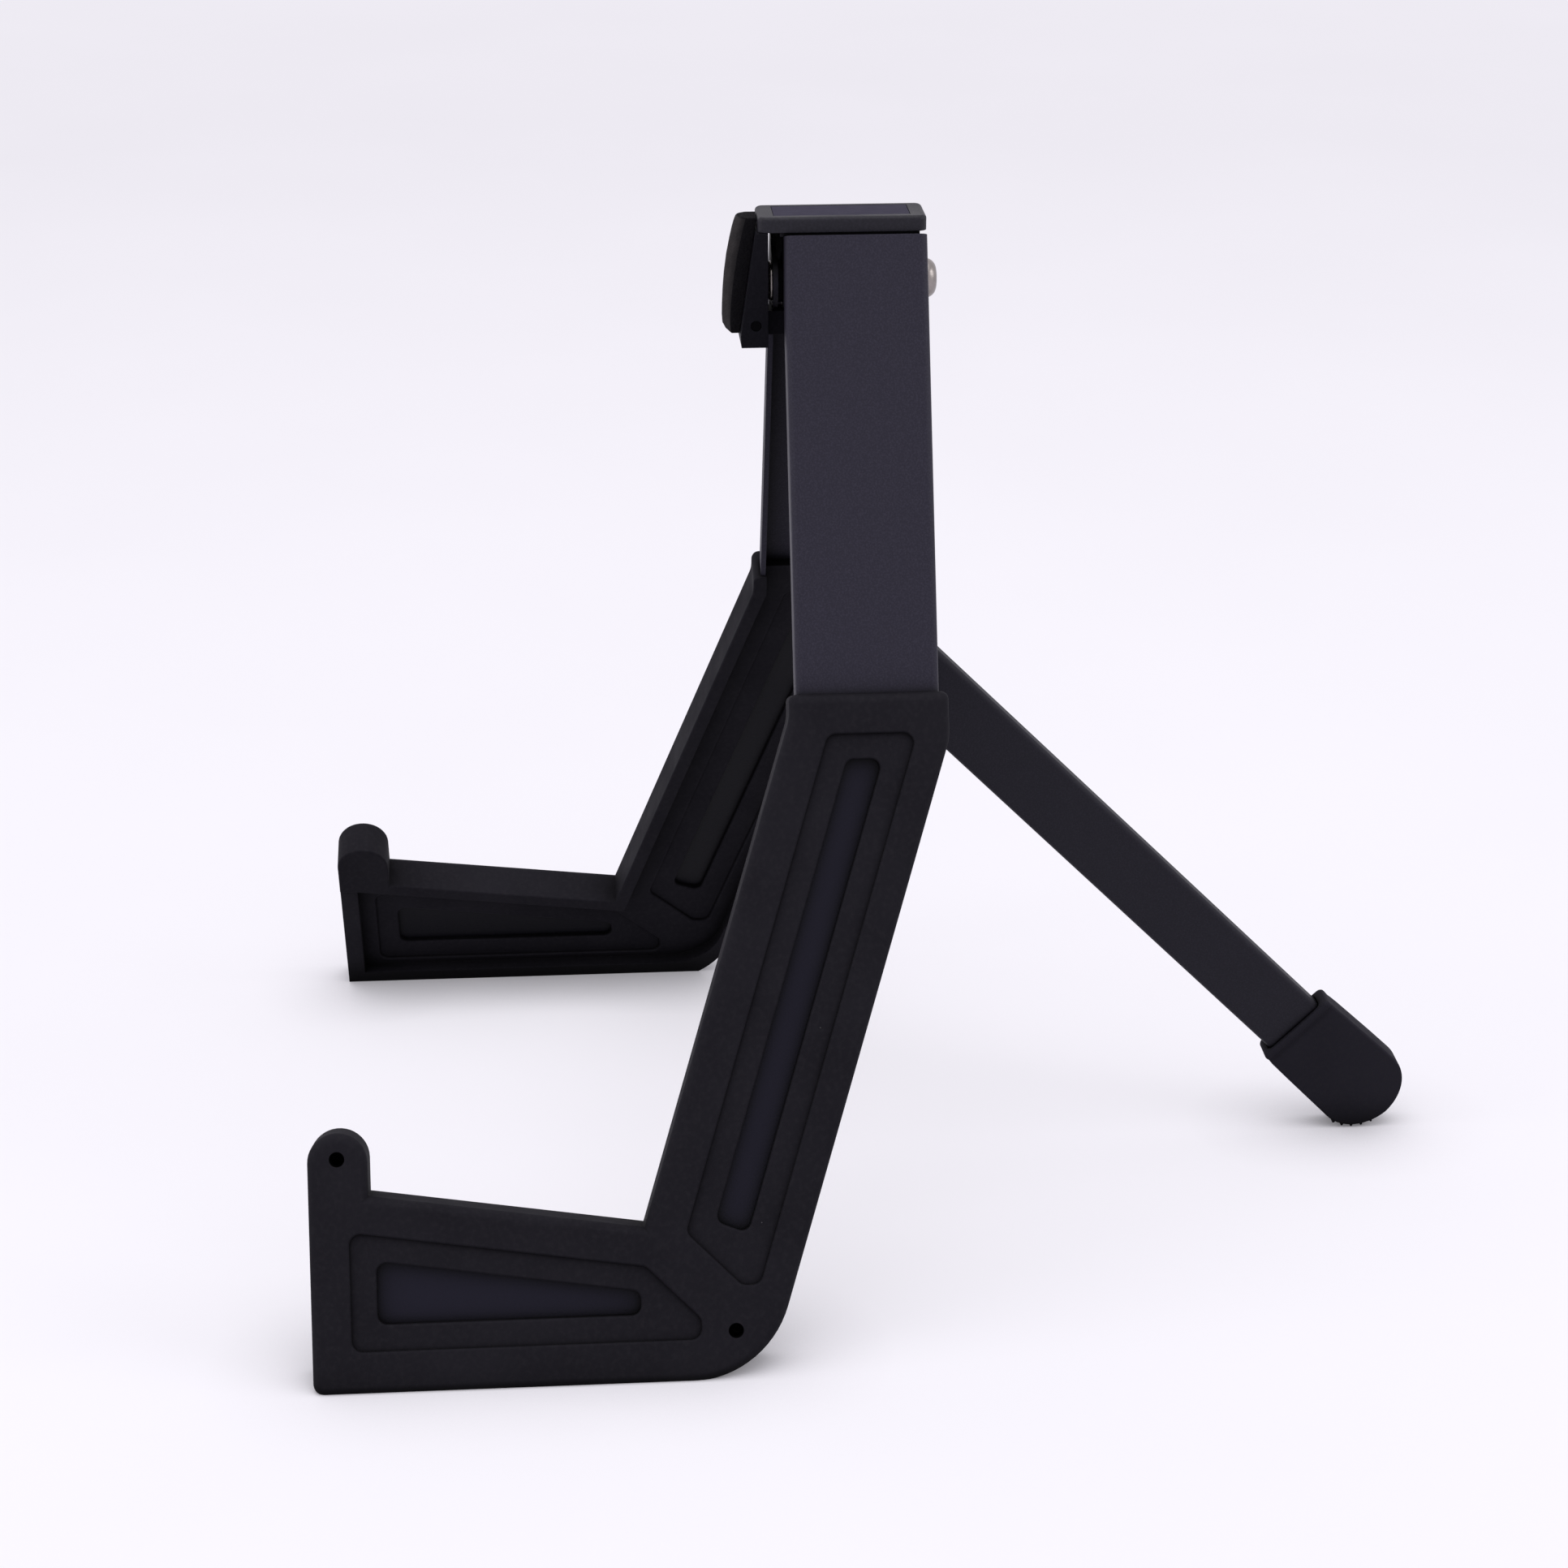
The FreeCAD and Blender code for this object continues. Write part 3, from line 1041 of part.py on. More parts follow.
def rear_washers():
    """Two washers between the rear leg and the spine's cheeks."""
    body = new_body("rear_washer_right")
    centre = (PIVOT_BACK, f"-{PIVOT_DROP}")
    start = "(sizes.rear_tube_thick / 2 + sizes.ear_relief)"
    radii = ["sizes.rear_washer_radius", PIVOT_BORE]
    sketch = circles(body, "rear_washer_ring", "YZ_Plane", [centre, centre], radii, start)
    pad(body, sketch, f"({CHEEK_INNER} - {start})")
    place_at_hinge(body)
    other = mirrored("rear_washer_left", body, SIDE)
    return grouped("rear_washers", [body, other])


def rear_boot():
    """Rubber boot on the rear leg's lower end, round where it meets the floor."""
    body = new_body("rear_leg_boot")
    half = "sizes.boot_radius"
    low = "-sizes.rear_leg_length"
    mouth = "(sizes.boot_length - sizes.rear_leg_length)"
    shaft = rectangle(body, "boot_shaft", "YZ_Plane", (f"-{half}", low), (half, mouth))
    pad(body, shaft, "sizes.boot_thick", symmetric=True)
    end = circles(body, "boot_end", "YZ_Plane", [("0", low)], [half])
    feature = pad(body, end, "sizes.boot_thick", symmetric=True)
    edges = []
    for level in (-value("(sizes.boot_thick / 2)"), value("(sizes.boot_thick / 2)")):
        edges.extend(edges_at_level(feature.Shape, "x", level))
    rounded(body, feature, edges, "sizes.boot_round")
    tube_half = "(sizes.rear_tube_width / 2)"
    thick = "(sizes.rear_tube_thick / 2)"
    seat = "(sizes.boot_seat - sizes.rear_leg_length)"
    low_corner = (f"-{thick}", f"-{tube_half}")
    socket = rectangle(body, "boot_socket", "XY_Plane", low_corner, (thick, tube_half), mouth)
    feature = pocket(body, socket, f"({mouth} - {seat})")
    corners = [(x * value(thick), y * value(tube_half)) for x in (-1, 1) for y in (-1, 1)]
    rounded(body, feature, edges_along(feature.Shape, "z", corners), "sizes.rear_tube_round")
    place_as_rear_leg(body)
    return body


# All pieces of the stand

right_channel = leg_channel("right_leg_channel", f"{NEST} / 2")
right_cover = leg_cover("right_leg_cover", right_channel, f"{NEST} / 2")
left_channel = leg_channel("left_channel_pattern", f"-{NEST} / 2")
left_cover = leg_cover("left_cover_pattern", left_channel, f"-{NEST} / 2")
pieces = [
    right_channel,
    mirrored("left_leg_channel", left_channel, SIDE),
    right_cover,
    mirrored("left_leg_cover", left_cover, SIDE),
    hinge_rivet(),
    hinge_spacer(),
    hinge_collars(),
    hinge_washers(),
    spine(),
    head_plate(),
    top_cap(),
    cap_badge(),
    cap_screws(),
    pad_bracket(),
    bracket_rivets(),
    pad_carrier(),
    carrier_pin(),
    back_pad(),
    rear_leg_tube(),
    rear_leg_insert(),
    insert_rivet(),
    rear_pivot_pin(),
    rear_stop_pin(),
    rear_washers(),
    rear_boot(),
]
doc.recompute()

for item in doc.Objects:
    if "Invalid" in item.State or "Error" in item.State:
        raise RuntimeError(f"{item.Name} failed: {item.State}")
for piece in pieces:
    if piece.Shape.isNull() or not piece.Shape.isValid():
        raise RuntimeError(f"{piece.Label} has no valid shape")

os.makedirs("parts", exist_ok=True)
for piece in pieces:
    piece.Shape.exportStep(f"parts/{piece.Label}.step")
    print(f"{piece.Label}: {len(piece.Shape.Solids)} solid(s), {piece.Shape.Volume:.0f} mm3")
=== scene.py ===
"""Dressed model of a folding guitar stand: splayed steel legs in rubber covers, padded head and rear leg.

The steel, rubber and plastic pieces keep their drawn solids and get softened edges and finishes. The foam
pad and the rear boot with its lip and grip ribs are modelled here. Metres, +Z up, the guitar at -Y.
"""
import json
import logging
import math
from dataclasses import dataclass, field
from enum import Enum
from typing import Callable, Sequence

import bmesh
import bpy
from mathutils import Matrix, Vector


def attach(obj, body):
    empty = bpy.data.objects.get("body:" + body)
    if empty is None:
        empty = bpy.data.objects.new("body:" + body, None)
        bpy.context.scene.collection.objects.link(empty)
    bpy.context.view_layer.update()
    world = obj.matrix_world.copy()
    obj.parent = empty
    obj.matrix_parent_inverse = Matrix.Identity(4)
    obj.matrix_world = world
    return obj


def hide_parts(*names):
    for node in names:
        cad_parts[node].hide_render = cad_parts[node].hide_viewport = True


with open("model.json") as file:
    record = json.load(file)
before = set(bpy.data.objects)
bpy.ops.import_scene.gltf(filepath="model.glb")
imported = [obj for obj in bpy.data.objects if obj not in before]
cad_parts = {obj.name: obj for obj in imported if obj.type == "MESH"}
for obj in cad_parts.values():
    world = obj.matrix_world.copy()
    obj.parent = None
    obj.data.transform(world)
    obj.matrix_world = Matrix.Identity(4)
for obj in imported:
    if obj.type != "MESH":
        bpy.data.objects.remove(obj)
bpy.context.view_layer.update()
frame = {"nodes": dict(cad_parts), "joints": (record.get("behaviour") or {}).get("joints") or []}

LOG = logging.getLogger("guitar_stand")
MM = 0.001

Colour = tuple[float, float, float]
Socket = bpy.types.NodeSocket
Loop = list[Vector]

STUDIO_WHITE: Colour = (0.975, 0.955, 1.0)
RAY_SAMPLES = 6
JOIN_GAP = 0.0001 * MM
CRISP_ANGLE = math.radians(32)
SHARPEST_MITER = 0.4


class Body(Enum):
    """Moving bodies of the stand."""

    HEAD = "head"
    RIGHT_LEG = "right_leg"
    LEFT_LEG = "left_leg"
    REAR_LEG = "rear_leg"


class Slot(Enum):
    """Names of material slots for the modelled pieces; the pieces here take their finishes directly."""

    RUBBER = "moulded_rubber"
    FOAM = "foam"


class Graph:
    """Node graph of one material round a principled shader."""

    def __init__(self, name: str, edge: float) -> None:
        """Starts a material whose patterns follow the piece's own coordinates.

        Args:
            name: Name of the material.
            edge: Radius by which sharp edges look rounded.
        """
        self.material = bpy.data.materials.new(name)
        self.material.use_nodes = True
        tree = self.material.node_tree
        self.nodes = tree.nodes
        self.links = tree.links
        self.shader = self.nodes["Principled BSDF"]
        place = self.nodes.new("ShaderNodeTexCoord")
        self.place = place.outputs["Object"]
        self.facing = place.outputs["Normal"]
        rounding = self.nodes.new("ShaderNodeBevel")
        rounding.samples = RAY_SAMPLES
        rounding.inputs["Radius"].default_value = edge
        self.edge = rounding.outputs["Normal"]

    def stretched(self, scale: Sequence[float]) -> Socket:
        """Coordinates stretched along the axes.

        Args:
            scale: Factor along x, y and z.

        Returns:
            The stretched coordinates.
        """
        mapping = self.nodes.new("ShaderNodeMapping")
        mapping.inputs["Scale"].default_value = scale
        self.links.new(self.place, mapping.inputs["Vector"])
        return mapping.outputs["Vector"]

    def noise(self, scale: float, detail: float = 3.0, place: Socket | None = None) -> Socket:
        """Cloudy noise from 0 to 1.

        Args:
            scale: Waves per metre.
            detail: Octaves of finer noise.
            place: Coordinates, the piece's own by default.

        Returns:
            The noise value.
        """
        node = self.nodes.new("ShaderNodeTexNoise")
        node.inputs["Scale"].default_value = scale
        node.inputs["Detail"].default_value = detail
        self.links.new(place or self.place, node.inputs["Vector"])
        return node.outputs[0]

    def cells(self, scale: float) -> Socket:
        """Distance to the nearest of scattered points.

        Args:
            scale: Points per metre.

        Returns:
            The distance, in units of the cell size.
        """
        node = self.nodes.new("ShaderNodeTexVoronoi")
        node.inputs["Scale"].default_value = scale
        self.links.new(self.place, node.inputs["Vector"])
        return node.outputs["Distance"]

    def span(self, source: Socket, start: Sequence[float], end: Sequence[float]) -> Socket:
        """Maps one range of values to another.

        Args:
            source: Value to map.
            start: Lower and upper end of the source.
            end: Values at those ends.

        Returns:
            The mapped value, kept within the end range.
        """
        node = self.nodes.new("ShaderNodeMapRange")
        node.inputs["From Min"].default_value, node.inputs["From Max"].default_value = start
        node.inputs["To Min"].default_value, node.inputs["To Max"].default_value = end
        self.links.new(source, node.inputs["Value"])
        return node.outputs["Result"]

    def along(self, source: Socket, axis: str) -> Socket:
        """One coordinate of a vector.

        Args:
            source: The vector.
            axis: Letter of the axis.

        Returns:
            The coordinate.
        """
        node = self.nodes.new("ShaderNodeSeparateXYZ")
        self.links.new(source, node.inputs["Vector"])
        return node.outputs[axis]

    def distance(self) -> Socket:
        """Distance from the piece's own origin.

        Returns:
            The distance in metres.
        """
        node = self.nodes.new("ShaderNodeVectorMath")
        node.operation = "LENGTH"
        self.links.new(self.place, node.inputs[0])
        return node.outputs["Value"]

    def shelter(self, reach: float) -> Socket:
        """Shelter of a point by surfaces near it, by which shade is painted into corners and under things.

        Args:
            reach: Distance up to which surfaces count.

        Returns:
            0 on open faces, up to 1 in tight corners.
        """
        node = self.nodes.new("ShaderNodeAmbientOcclusion")
        node.samples = RAY_SAMPLES
        node.inputs["Distance"].default_value = reach
        return self.span(node.outputs["AO"], (0.94, 0.40), (0.0, 1.0))

    def times(self, first: Socket, second: Socket) -> Socket:
        """Multiplies two values.

        Args:
            first: One value.
            second: The other value.

        Returns:
            Their product.
        """
        node = self.nodes.new("ShaderNodeMath")
        node.operation = "MULTIPLY"
        self.links.new(first, node.inputs[0])
        self.links.new(second, node.inputs[1])
        return node.outputs["Value"]

    def mix(self, share: Socket, low: Colour | Socket, high: Colour) -> Socket:
        """Mixes two colours.

        Args:
            share: Share of the second colour.
            low: First colour, fixed or from the graph.
            high: Second colour.

        Returns:
            The mixed colour.
        """
        node = self.nodes.new("ShaderNodeMix")
        node.data_type = "RGBA"
        self.links.new(share, node.inputs["Factor"])
        if isinstance(low, Socket):
            self.links.new(low, node.inputs[6])
        else:
            node.inputs[6].default_value = (*low, 1.0)
        node.inputs[7].default_value = (*high, 1.0)
        return node.outputs[2]

    def bump(self, height: Socket, depth: float, under: Socket | None = None) -> Socket:
        """Relief in the surface's normal.

        Args:
            height: Height from 0 to 1.
            depth: Depth of the relief in metres.
            under: Coarser relief below this one, the rounded edges by default.

        Returns:
            The bent normal.
        """
        node = self.nodes.new("ShaderNodeBump")
        node.inputs["Distance"].default_value = depth
        self.links.new(height, node.inputs["Height"])
        self.links.new(under or self.edge, node.inputs["Normal"])
        return node.outputs["Normal"]

    def finish(
        self, colour: Socket, roughness: Socket, normal: Socket, **fixed: float | tuple[float, ...]
    ) -> bpy.types.Material:
        """Wires the shader.

        Args:
            colour: Base colour.
            roughness: Roughness.
            normal: Surface normal.
            fixed: Values that are the same all over, by socket name with spaces as underscores.

        Returns:
            The finished material.
        """
        for socket, source in (("Base Color", colour), ("Roughness", roughness), ("Normal", normal)):
            self.links.new(source, self.shader.inputs[socket])
        for name, number in fixed.items():
            self.shader.inputs[name.replace("_", " ")].default_value = number
        return self.material


@dataclass(frozen=True)
class PowderCoat:
    """Satin powder coat with orange peel; if wanted, painted shade darkens it below a height, most on the
    inner side, and painted shade darkens its corners.
    """

    name: str = "powder_coat"
    base: Colour = (0.0258, 0.0238, 0.0368)
    fleck: Colour = (0.0365, 0.0337, 0.0510)
    # Painted shade: colours of the steel below the cover line, seen through the cover's windows, and of its
    # inward-facing side there.
    painted_window_shade: Colour = (0.0124, 0.0115, 0.0218)
    painted_inner_shade: Colour = (0.0042, 0.0039, 0.0066)
    painted_shade_below: float | None = None
    # Painted shade in corners and recesses.
    corner: Colour = (0.0015, 0.0014, 0.0022)
    grain: float = 1500.0
    peel: float = 420.0
    cloud: float = 14.0
    depth: float = 0.07 * MM
    fade: float = 4 * MM
    side_fade: float = 0.01
    shelter: float = 17 * MM
    roughness: tuple[float, float] = (0.46, 0.58)
    gloss: float = 0.12
    edge: float = 0.35 * MM

    def material(self) -> bpy.types.Material:
        """Builds the material.

        Returns:
            The powder coat.
        """
        graph = Graph(self.name, self.edge)
        grain = graph.noise(self.grain, 2.0)
        colour = graph.mix(graph.span(grain, (0.42, 0.72), (0.0, 1.0)), self.base, self.fleck)
        # Painted shade: below the cover line the steel is seen only through the cover's windows and is
        # darkened there, most on its inward-facing side.
        if self.painted_shade_below is not None:
            height = graph.along(graph.place, "Z")
            lower = graph.span(height, (self.painted_shade_below, self.painted_shade_below + self.fade), (1.0, 0.0))
            outward = graph.times(graph.along(graph.facing, "X"), graph.along(graph.place, "X"))
            inward = graph.span(outward, (-self.side_fade, self.side_fade), (1.0, 0.0))
            colour = graph.mix(lower, colour, self.painted_window_shade)
            colour = graph.mix(graph.times(lower, inward), colour, self.painted_inner_shade)
        # Painted shade in corners and recesses, by how sheltered each point is.
        colour = graph.mix(graph.shelter(self.shelter), colour, self.corner)
        rough = graph.span(graph.noise(self.cloud, 4.0), (0.3, 0.7), self.roughness)
        peel = graph.bump(graph.noise(self.peel, 1.0), self.depth * 0.6)
        normal = graph.bump(grain, self.depth, peel)
        return graph.finish(colour, rough, normal, Specular_IOR_Level=self.gloss)


@dataclass(frozen=True)
class MouldedRubber:
    """Matte moulded rubber with faint bloom, a few specks of dust and painted shade in its corners."""

    name: str = "moulded_rubber"
    base: Colour = (0.0118, 0.0110, 0.0147)
    bloom: Colour = (0.0152, 0.0143, 0.0189)
    fleck: Colour = (0.0215, 0.0200, 0.0245)
    # Painted shade in corners and recesses.
    corner: Colour = (0.0012, 0.0011, 0.0014)
    dust: Colour = (0.11, 0.105, 0.11)
    cloud: float = 22.0
    mottle: float = 520.0
    specks: float = 105.0
    dusty_patches: float = 31.0
    wear_and_front_light: float = 60.0
    skin: float = 2400.0
    skin_depth: float = 0.04 * MM
    shelter: float = 17 * MM
    roughness: tuple[float, float] = (0.66, 0.80)
    gloss: float = 0.06
    edge: float = 0.7 * MM

    def material(self) -> bpy.types.Material:
        """Builds the material.

        Returns:
            The rubber.
        """
        graph = Graph(self.name, self.edge)
        cloud = graph.noise(self.cloud, 5.0)
        colour = graph.mix(graph.span(cloud, (0.38, 0.72), (0.0, 1.0)), self.base, self.bloom)
        mottle = graph.span(graph.noise(self.mottle, 4.0), (0.45, 0.75), (0.0, 0.45))
        colour = graph.mix(mottle, colour, self.fleck)
        specks = graph.span(graph.cells(self.specks), (0.018, 0.03), (1.0, 0.0))
        dusty = graph.span(graph.noise(self.dusty_patches, 1.0), (0.52, 0.58), (0.0, 1.0))
        colour = graph.mix(graph.times(specks, dusty), colour, self.dust)
        # Painted shade in corners and recesses, by how sheltered each point is.
        colour = graph.mix(graph.shelter(self.shelter), colour, self.corner)
        rough = graph.span(graph.noise(self.wear_and_front_light, 3.0), (0.3, 0.7), self.roughness)
        skin = graph.bump(graph.noise(self.skin, 2.0), self.skin_depth)
        return graph.finish(colour, rough, skin, Specular_IOR_Level=self.gloss)


@dataclass(frozen=True)
class GrainedPlastic:
    """Moulded plastic with a spark-eroded grain."""

    name: str
    base: Colour
    fleck: Colour
    gloss: float
    grain: float = 1500.0
    grain_depth: float = 0.04 * MM
    mottle: float = 900.0
    cloud: float = 40.0
    roughness: tuple[float, float] = (0.44, 0.58)
    edge: float = 0.4 * MM

    def material(self) -> bpy.types.Material:
        """Builds the material.

        Returns:
            The plastic.
        """
        graph = Graph(self.name, self.edge)
        mottle = graph.span(graph.noise(self.mottle, 2.0), (0.4, 0.75), (0.0, 1.0))
        colour = graph.mix(mottle, self.base, self.fleck)
        rough = graph.span(graph.noise(self.cloud, 3.0), (0.3, 0.7), self.roughness)
        grain = graph.bump(graph.cells(self.grain), self.grain_depth)
        return graph.finish(colour, rough, grain, Specular_IOR_Level=self.gloss)


@dataclass(frozen=True)
class TurnedMetal:
    """Plated or plain metal with fine handling marks."""

    name: str
    base: Colour
    shade: Colour
    roughness: tuple[float, float]
    stretch: tuple[float, float, float] = (1.0, 1.0, 1.0)
    grazing: Colour = (1.0, 1.0, 1.0)
    marks: float = 700.0
    mark_depth: float = 0.012 * MM
    cloud: float = 180.0
    edge: float = 0.2 * MM

    def material(self) -> bpy.types.Material:
        """Builds the material.

        Returns:
            The metal.
        """
        graph = Graph(self.name, self.edge)
        marks = graph.noise(self.marks, 4.0, graph.stretched(self.stretch))
        cloud = graph.span(graph.noise(self.cloud, 3.0), (0.35, 0.7), (0.0, 1.0))
        colour = graph.mix(cloud, self.base, self.shade)
        rough = graph.span(marks, (0.3, 0.7), self.roughness)
        relief = graph.bump(marks, self.mark_depth)
        return graph.finish(colour, rough, relief, Metallic=1.0, Specular_Tint=(*self.grazing, 1.0))


@dataclass(frozen=True)
class DenseFoam:
    """Dense black foam with small open cells; painted light makes the face that the guitar leans on paler,
    patchily.
    """

    name: str = "dense_foam"
    base: Colour = (0.0052, 0.0048, 0.0062)
    cell: Colour = (0.0085, 0.0080, 0.0095)
    # Painted light on the front face.
    painted_front_light: Colour = (0.048, 0.044, 0.045)
    pitch: float = 1500.0
    cell_depth: float = 0.12 * MM
    wear_and_front_light: float = 240.0
    cloud: float = 300.0
    crumple: float = 260.0
    crumple_depth: float = 0.2 * MM
    gloss: float = 0.05
    edge: float = 0.5 * MM

    def material(self) -> bpy.types.Material:
        """Builds the material.

        Returns:
            The foam.
        """
        graph = Graph(self.name, self.edge)
        cells = graph.cells(self.pitch)
        colour = graph.mix(graph.span(cells, (0.15, 0.75), (0.0, 1.0)), self.base, self.cell)
        # Painted light: the face turned to -Y is painted paler, patchy by noise.
        front = graph.span(graph.along(graph.facing, "Y"), (-0.30, -0.62), (0.0, 1.0))
        wear_and_front_light = graph.times(front, graph.span(graph.noise(self.wear_and_front_light, 4.0), (0.25, 0.75), (0.55, 1.0)))
        colour = graph.mix(wear_and_front_light, colour, self.painted_front_light)
        rough = graph.span(graph.noise(self.cloud, 2.0), (0.3, 0.7), (0.86, 0.98))
        crumple = graph.bump(graph.noise(self.crumple, 3.0), self.crumple_depth)
        normal = graph.bump(cells, self.cell_depth, crumple)
        return graph.finish(colour, rough, normal, Specular_IOR_Level=self.gloss)


def seen_directly(nodes: bpy.types.Nodes, links: bpy.types.NodeLinks) -> Socket:
    """Marks rays from the camera, a reflection or a clear piece.

    Args:
        nodes: Nodes of the graph.
        links: Links of the graph.

    Returns:
        1 for such a ray and 0 for one that only carries light.
    """
    path = nodes.new("ShaderNodeLightPath")
    seen = path.outputs["Is Camera Ray"]
    for kind in ("Is Glossy Ray", "Is Transmission Ray"):
        larger = nodes.new("ShaderNodeMath")
        larger.operation = "MAXIMUM"
        links.new(seen, larger.inputs[0])
        links.new(path.outputs[kind], larger.inputs[1])
        seen = larger.outputs["Value"]
    return seen


@dataclass(frozen=True)
class PaleCloth:
    """Pale floor of fine plain cloth that looks white and keeps shadows, with painted contact shadow where
    its glow is dimmed near the stand.
    """

    name: str = "pale_cloth"
    base: Colour = (0.50, 0.49, 0.525)
    light: Colour = (0.54, 0.53, 0.565)
    cloud: float = 3.0
    weave: float = 50.0
    folds: float = 9.0
    fold_depth: float = 0.6 * MM
    glow: float = 0.43
    far_glow: float = 0.55
    fade: tuple[float, float] = (2.0, 4.5)
    contact: float = 45 * MM
    contact_glow: float = 0.3

    def material(self) -> bpy.types.Material:
        """Builds the material.

        Returns:
            The cloth.
        """
        graph = Graph(self.name, 0.0)
        colour = graph.mix(graph.noise(self.cloud, 4.0), self.base, self.light)
        rough = graph.span(graph.noise(self.weave, 2.0), (0.3, 0.7), (0.9, 1.0))
        glow = graph.span(graph.distance(), self.fade, (self.glow, self.far_glow))
        glow = graph.times(glow, seen_directly(graph.nodes, graph.links))
        # Painted contact shadow: the glow is dimmed where the stand shelters the floor.
        open_floor = graph.span(graph.shelter(self.contact), (0.0, 1.0), (1.0, self.contact_glow))
        graph.links.new(graph.times(glow, open_floor), graph.shader.inputs["Emission Strength"])
        graph.shader.inputs["Emission Color"].default_value = (*STUDIO_WHITE, 1.0)
        folds = graph.bump(graph.noise(self.folds, 2.0), self.fold_depth)
        return graph.finish(colour, rough, folds, Specular_IOR_Level=0.0)


@dataclass(frozen=True)
class SoftEdge:
    """Rounds the sharp edges of a drawn solid without changing its own mesh."""

    width: float
    segments: int = 3
    angle: float = math.radians(28)
    flat_angle: float = math.radians(0.4)
    weld_gap: float = 0.004 * MM
    face_weight: int = 80

    def round(self, node: bpy.types.Object) -> None:
        """Adds the rounding to a node.

        Args:
            node: Drawn solid to soften.
        """
        weld = node.modifiers.new("weld", "WELD")
        weld.merge_threshold = self.weld_gap
        flats = node.modifiers.new("flats", "DECIMATE")
        flats.decimate_type = "DISSOLVE"
        flats.angle_limit = self.flat_angle
        bevel = node.modifiers.new("soft_edge", "BEVEL")
        bevel.width = self.width
        bevel.segments = self.segments
        bevel.limit_method = "ANGLE"
        bevel.angle_limit = self.angle
        bevel.use_clamp_overlap = True
        shade = node.modifiers.new("shade", "WEIGHTED_NORMAL")
        shade.weight = self.face_weight


def dress(node_name: str, finish: bpy.types.Material, edge: SoftEdge | None = None) -> None:
    """Gives a drawn node its finish and, if wanted, softer edges.

    Args:
        node_name: Node of the frame.
        finish: Material of the whole node.
        edge: Rounding of its sharp edges.
    """
    node = frame["nodes"][node_name]
    node.data.materials.clear()
    node.data.materials.append(finish)
    if edge is not None:
        edge.round(node)
    LOG.info("dressed %s in %s", node_name, finish.name)


def piece_from(name: str, shape: bmesh.types.BMesh, finish: bpy.types.Material) -> bpy.types.Object:
    """Turns a finished mesh into an object of the scene, with crisp edges where it turns sharply.

    Args:
        name: Name of the piece.
        shape: Mesh in the row frame, freed afterwards.
        finish: Material of the piece.

    Returns:
        The new object.
    """
    bmesh.ops.remove_doubles(shape, verts=shape.verts, dist=JOIN_GAP)
    bmesh.ops.recalc_face_normals(shape, faces=shape.faces)
    for face in shape.faces:
        face.smooth = True
    for edge in shape.edges:
        edge.smooth = edge.calc_face_angle(0.0) < CRISP_ANGLE
    mesh = bpy.data.meshes.new(name)
    shape.to_mesh(mesh)
    shape.free()
    mesh.materials.append(finish)
    piece = bpy.data.objects.new(name, mesh)
    bpy.context.scene.collection.objects.link(piece)
    return piece


def loft(shape: bmesh.types.BMesh, loops: Sequence[Loop], capped: tuple[bool, bool]) -> None:
    """Skins closed loops of equal count in order.

    Args:
        shape: Mesh that takes the skin.
        loops: Closed loops of points.
        capped: Whether the first and the last loop are filled.
    """
    rows = [[shape.verts.new(point) for point in points] for points in loops]
    count = len(rows[0])
    for low, high in zip(rows, rows[1:]):
        for index in range(count):
            following = (index + 1) % count
            shape.faces.new((low[index], low[following], high[following], high[index]))
    for row, wanted in zip((rows[0], rows[-1]), capped):
        if wanted:
            shape.faces.new(row)


def inset_outline(outline: Sequence[tuple[float, float]], amount: float) -> list[tuple[float, float]]:
    """Moves an anticlockwise outline inwards.

    Args:
        outline: Corner points.
        amount: Distance to move.

    Returns:
        The moved points.
    """
    moved = []
    count = len(outline)
    for index, (x, y) in enumerate(outline):
        before, after = outline[index - 1], outline[(index + 1) % count]
        first = Vector((x - before[0], y - before[1])).normalized()
        second = Vector((after[0] - x, after[1] - y)).normalized()
        normal = Vector((-first.y - second.y, first.x + second.x)).normalized()
        miter = max(SHARPEST_MITER, normal.dot(Vector((-first.y, first.x))))
        moved.append((x + normal.x * amount / miter, y + normal.y * amount / miter))
    return moved


def slab_loops(
    outline: Sequence[tuple[float, float]], half: float, radius: float, steps: int,
    place: Callable[[float, float, float], Vector],
) -> list[Loop]:
    """Loops of a flat slab with rounded edges.

    Args:
        outline: Anticlockwise outline of the slab.
        half: Half of its thickness.
        radius: Rounding of its edges.
        steps: Steps of each rounding.
        place: Gives the point for a height across the slab and two coordinates in its plane.

    Returns:
        The loops from one face to the other.
    """
    levels = []
    for step in range(steps + 1):
        turn = math.radians(90) * step / steps
        levels.append((radius * (1 - math.sin(turn)), -half + radius * (1 - math.cos(turn))))
    levels += [(inset, -height) for inset, height in reversed(levels)]
    loops = []
    for inset, height in levels:
        loops.append([place(height, a, b) for a, b in inset_outline(outline, inset)])
    return loops


def rounded_rectangle(
    half_x: float, half_y: float, radius: float, per_corner: int = 7
) -> list[tuple[float, float]]:
    """Anticlockwise rectangle with round corners.

    Args:
        half_x: Half size along the first axis.
        half_y: Half size along the second axis.
        radius: Corner radius.
        per_corner: Points on each corner.

    Returns:
        The outline.
    """
    points = []
    for corner, (sx, sy) in enumerate(((1, 1), (-1, 1), (-1, -1), (1, -1))):
        for index in range(per_corner):
            turn = math.radians(90) * (corner + index / (per_corner - 1))
            points.append(
                (
                    sx * (half_x - radius) + radius * math.cos(turn),
                    sy * (half_y - radius) + radius * math.sin(turn),
                )
            )
    return points


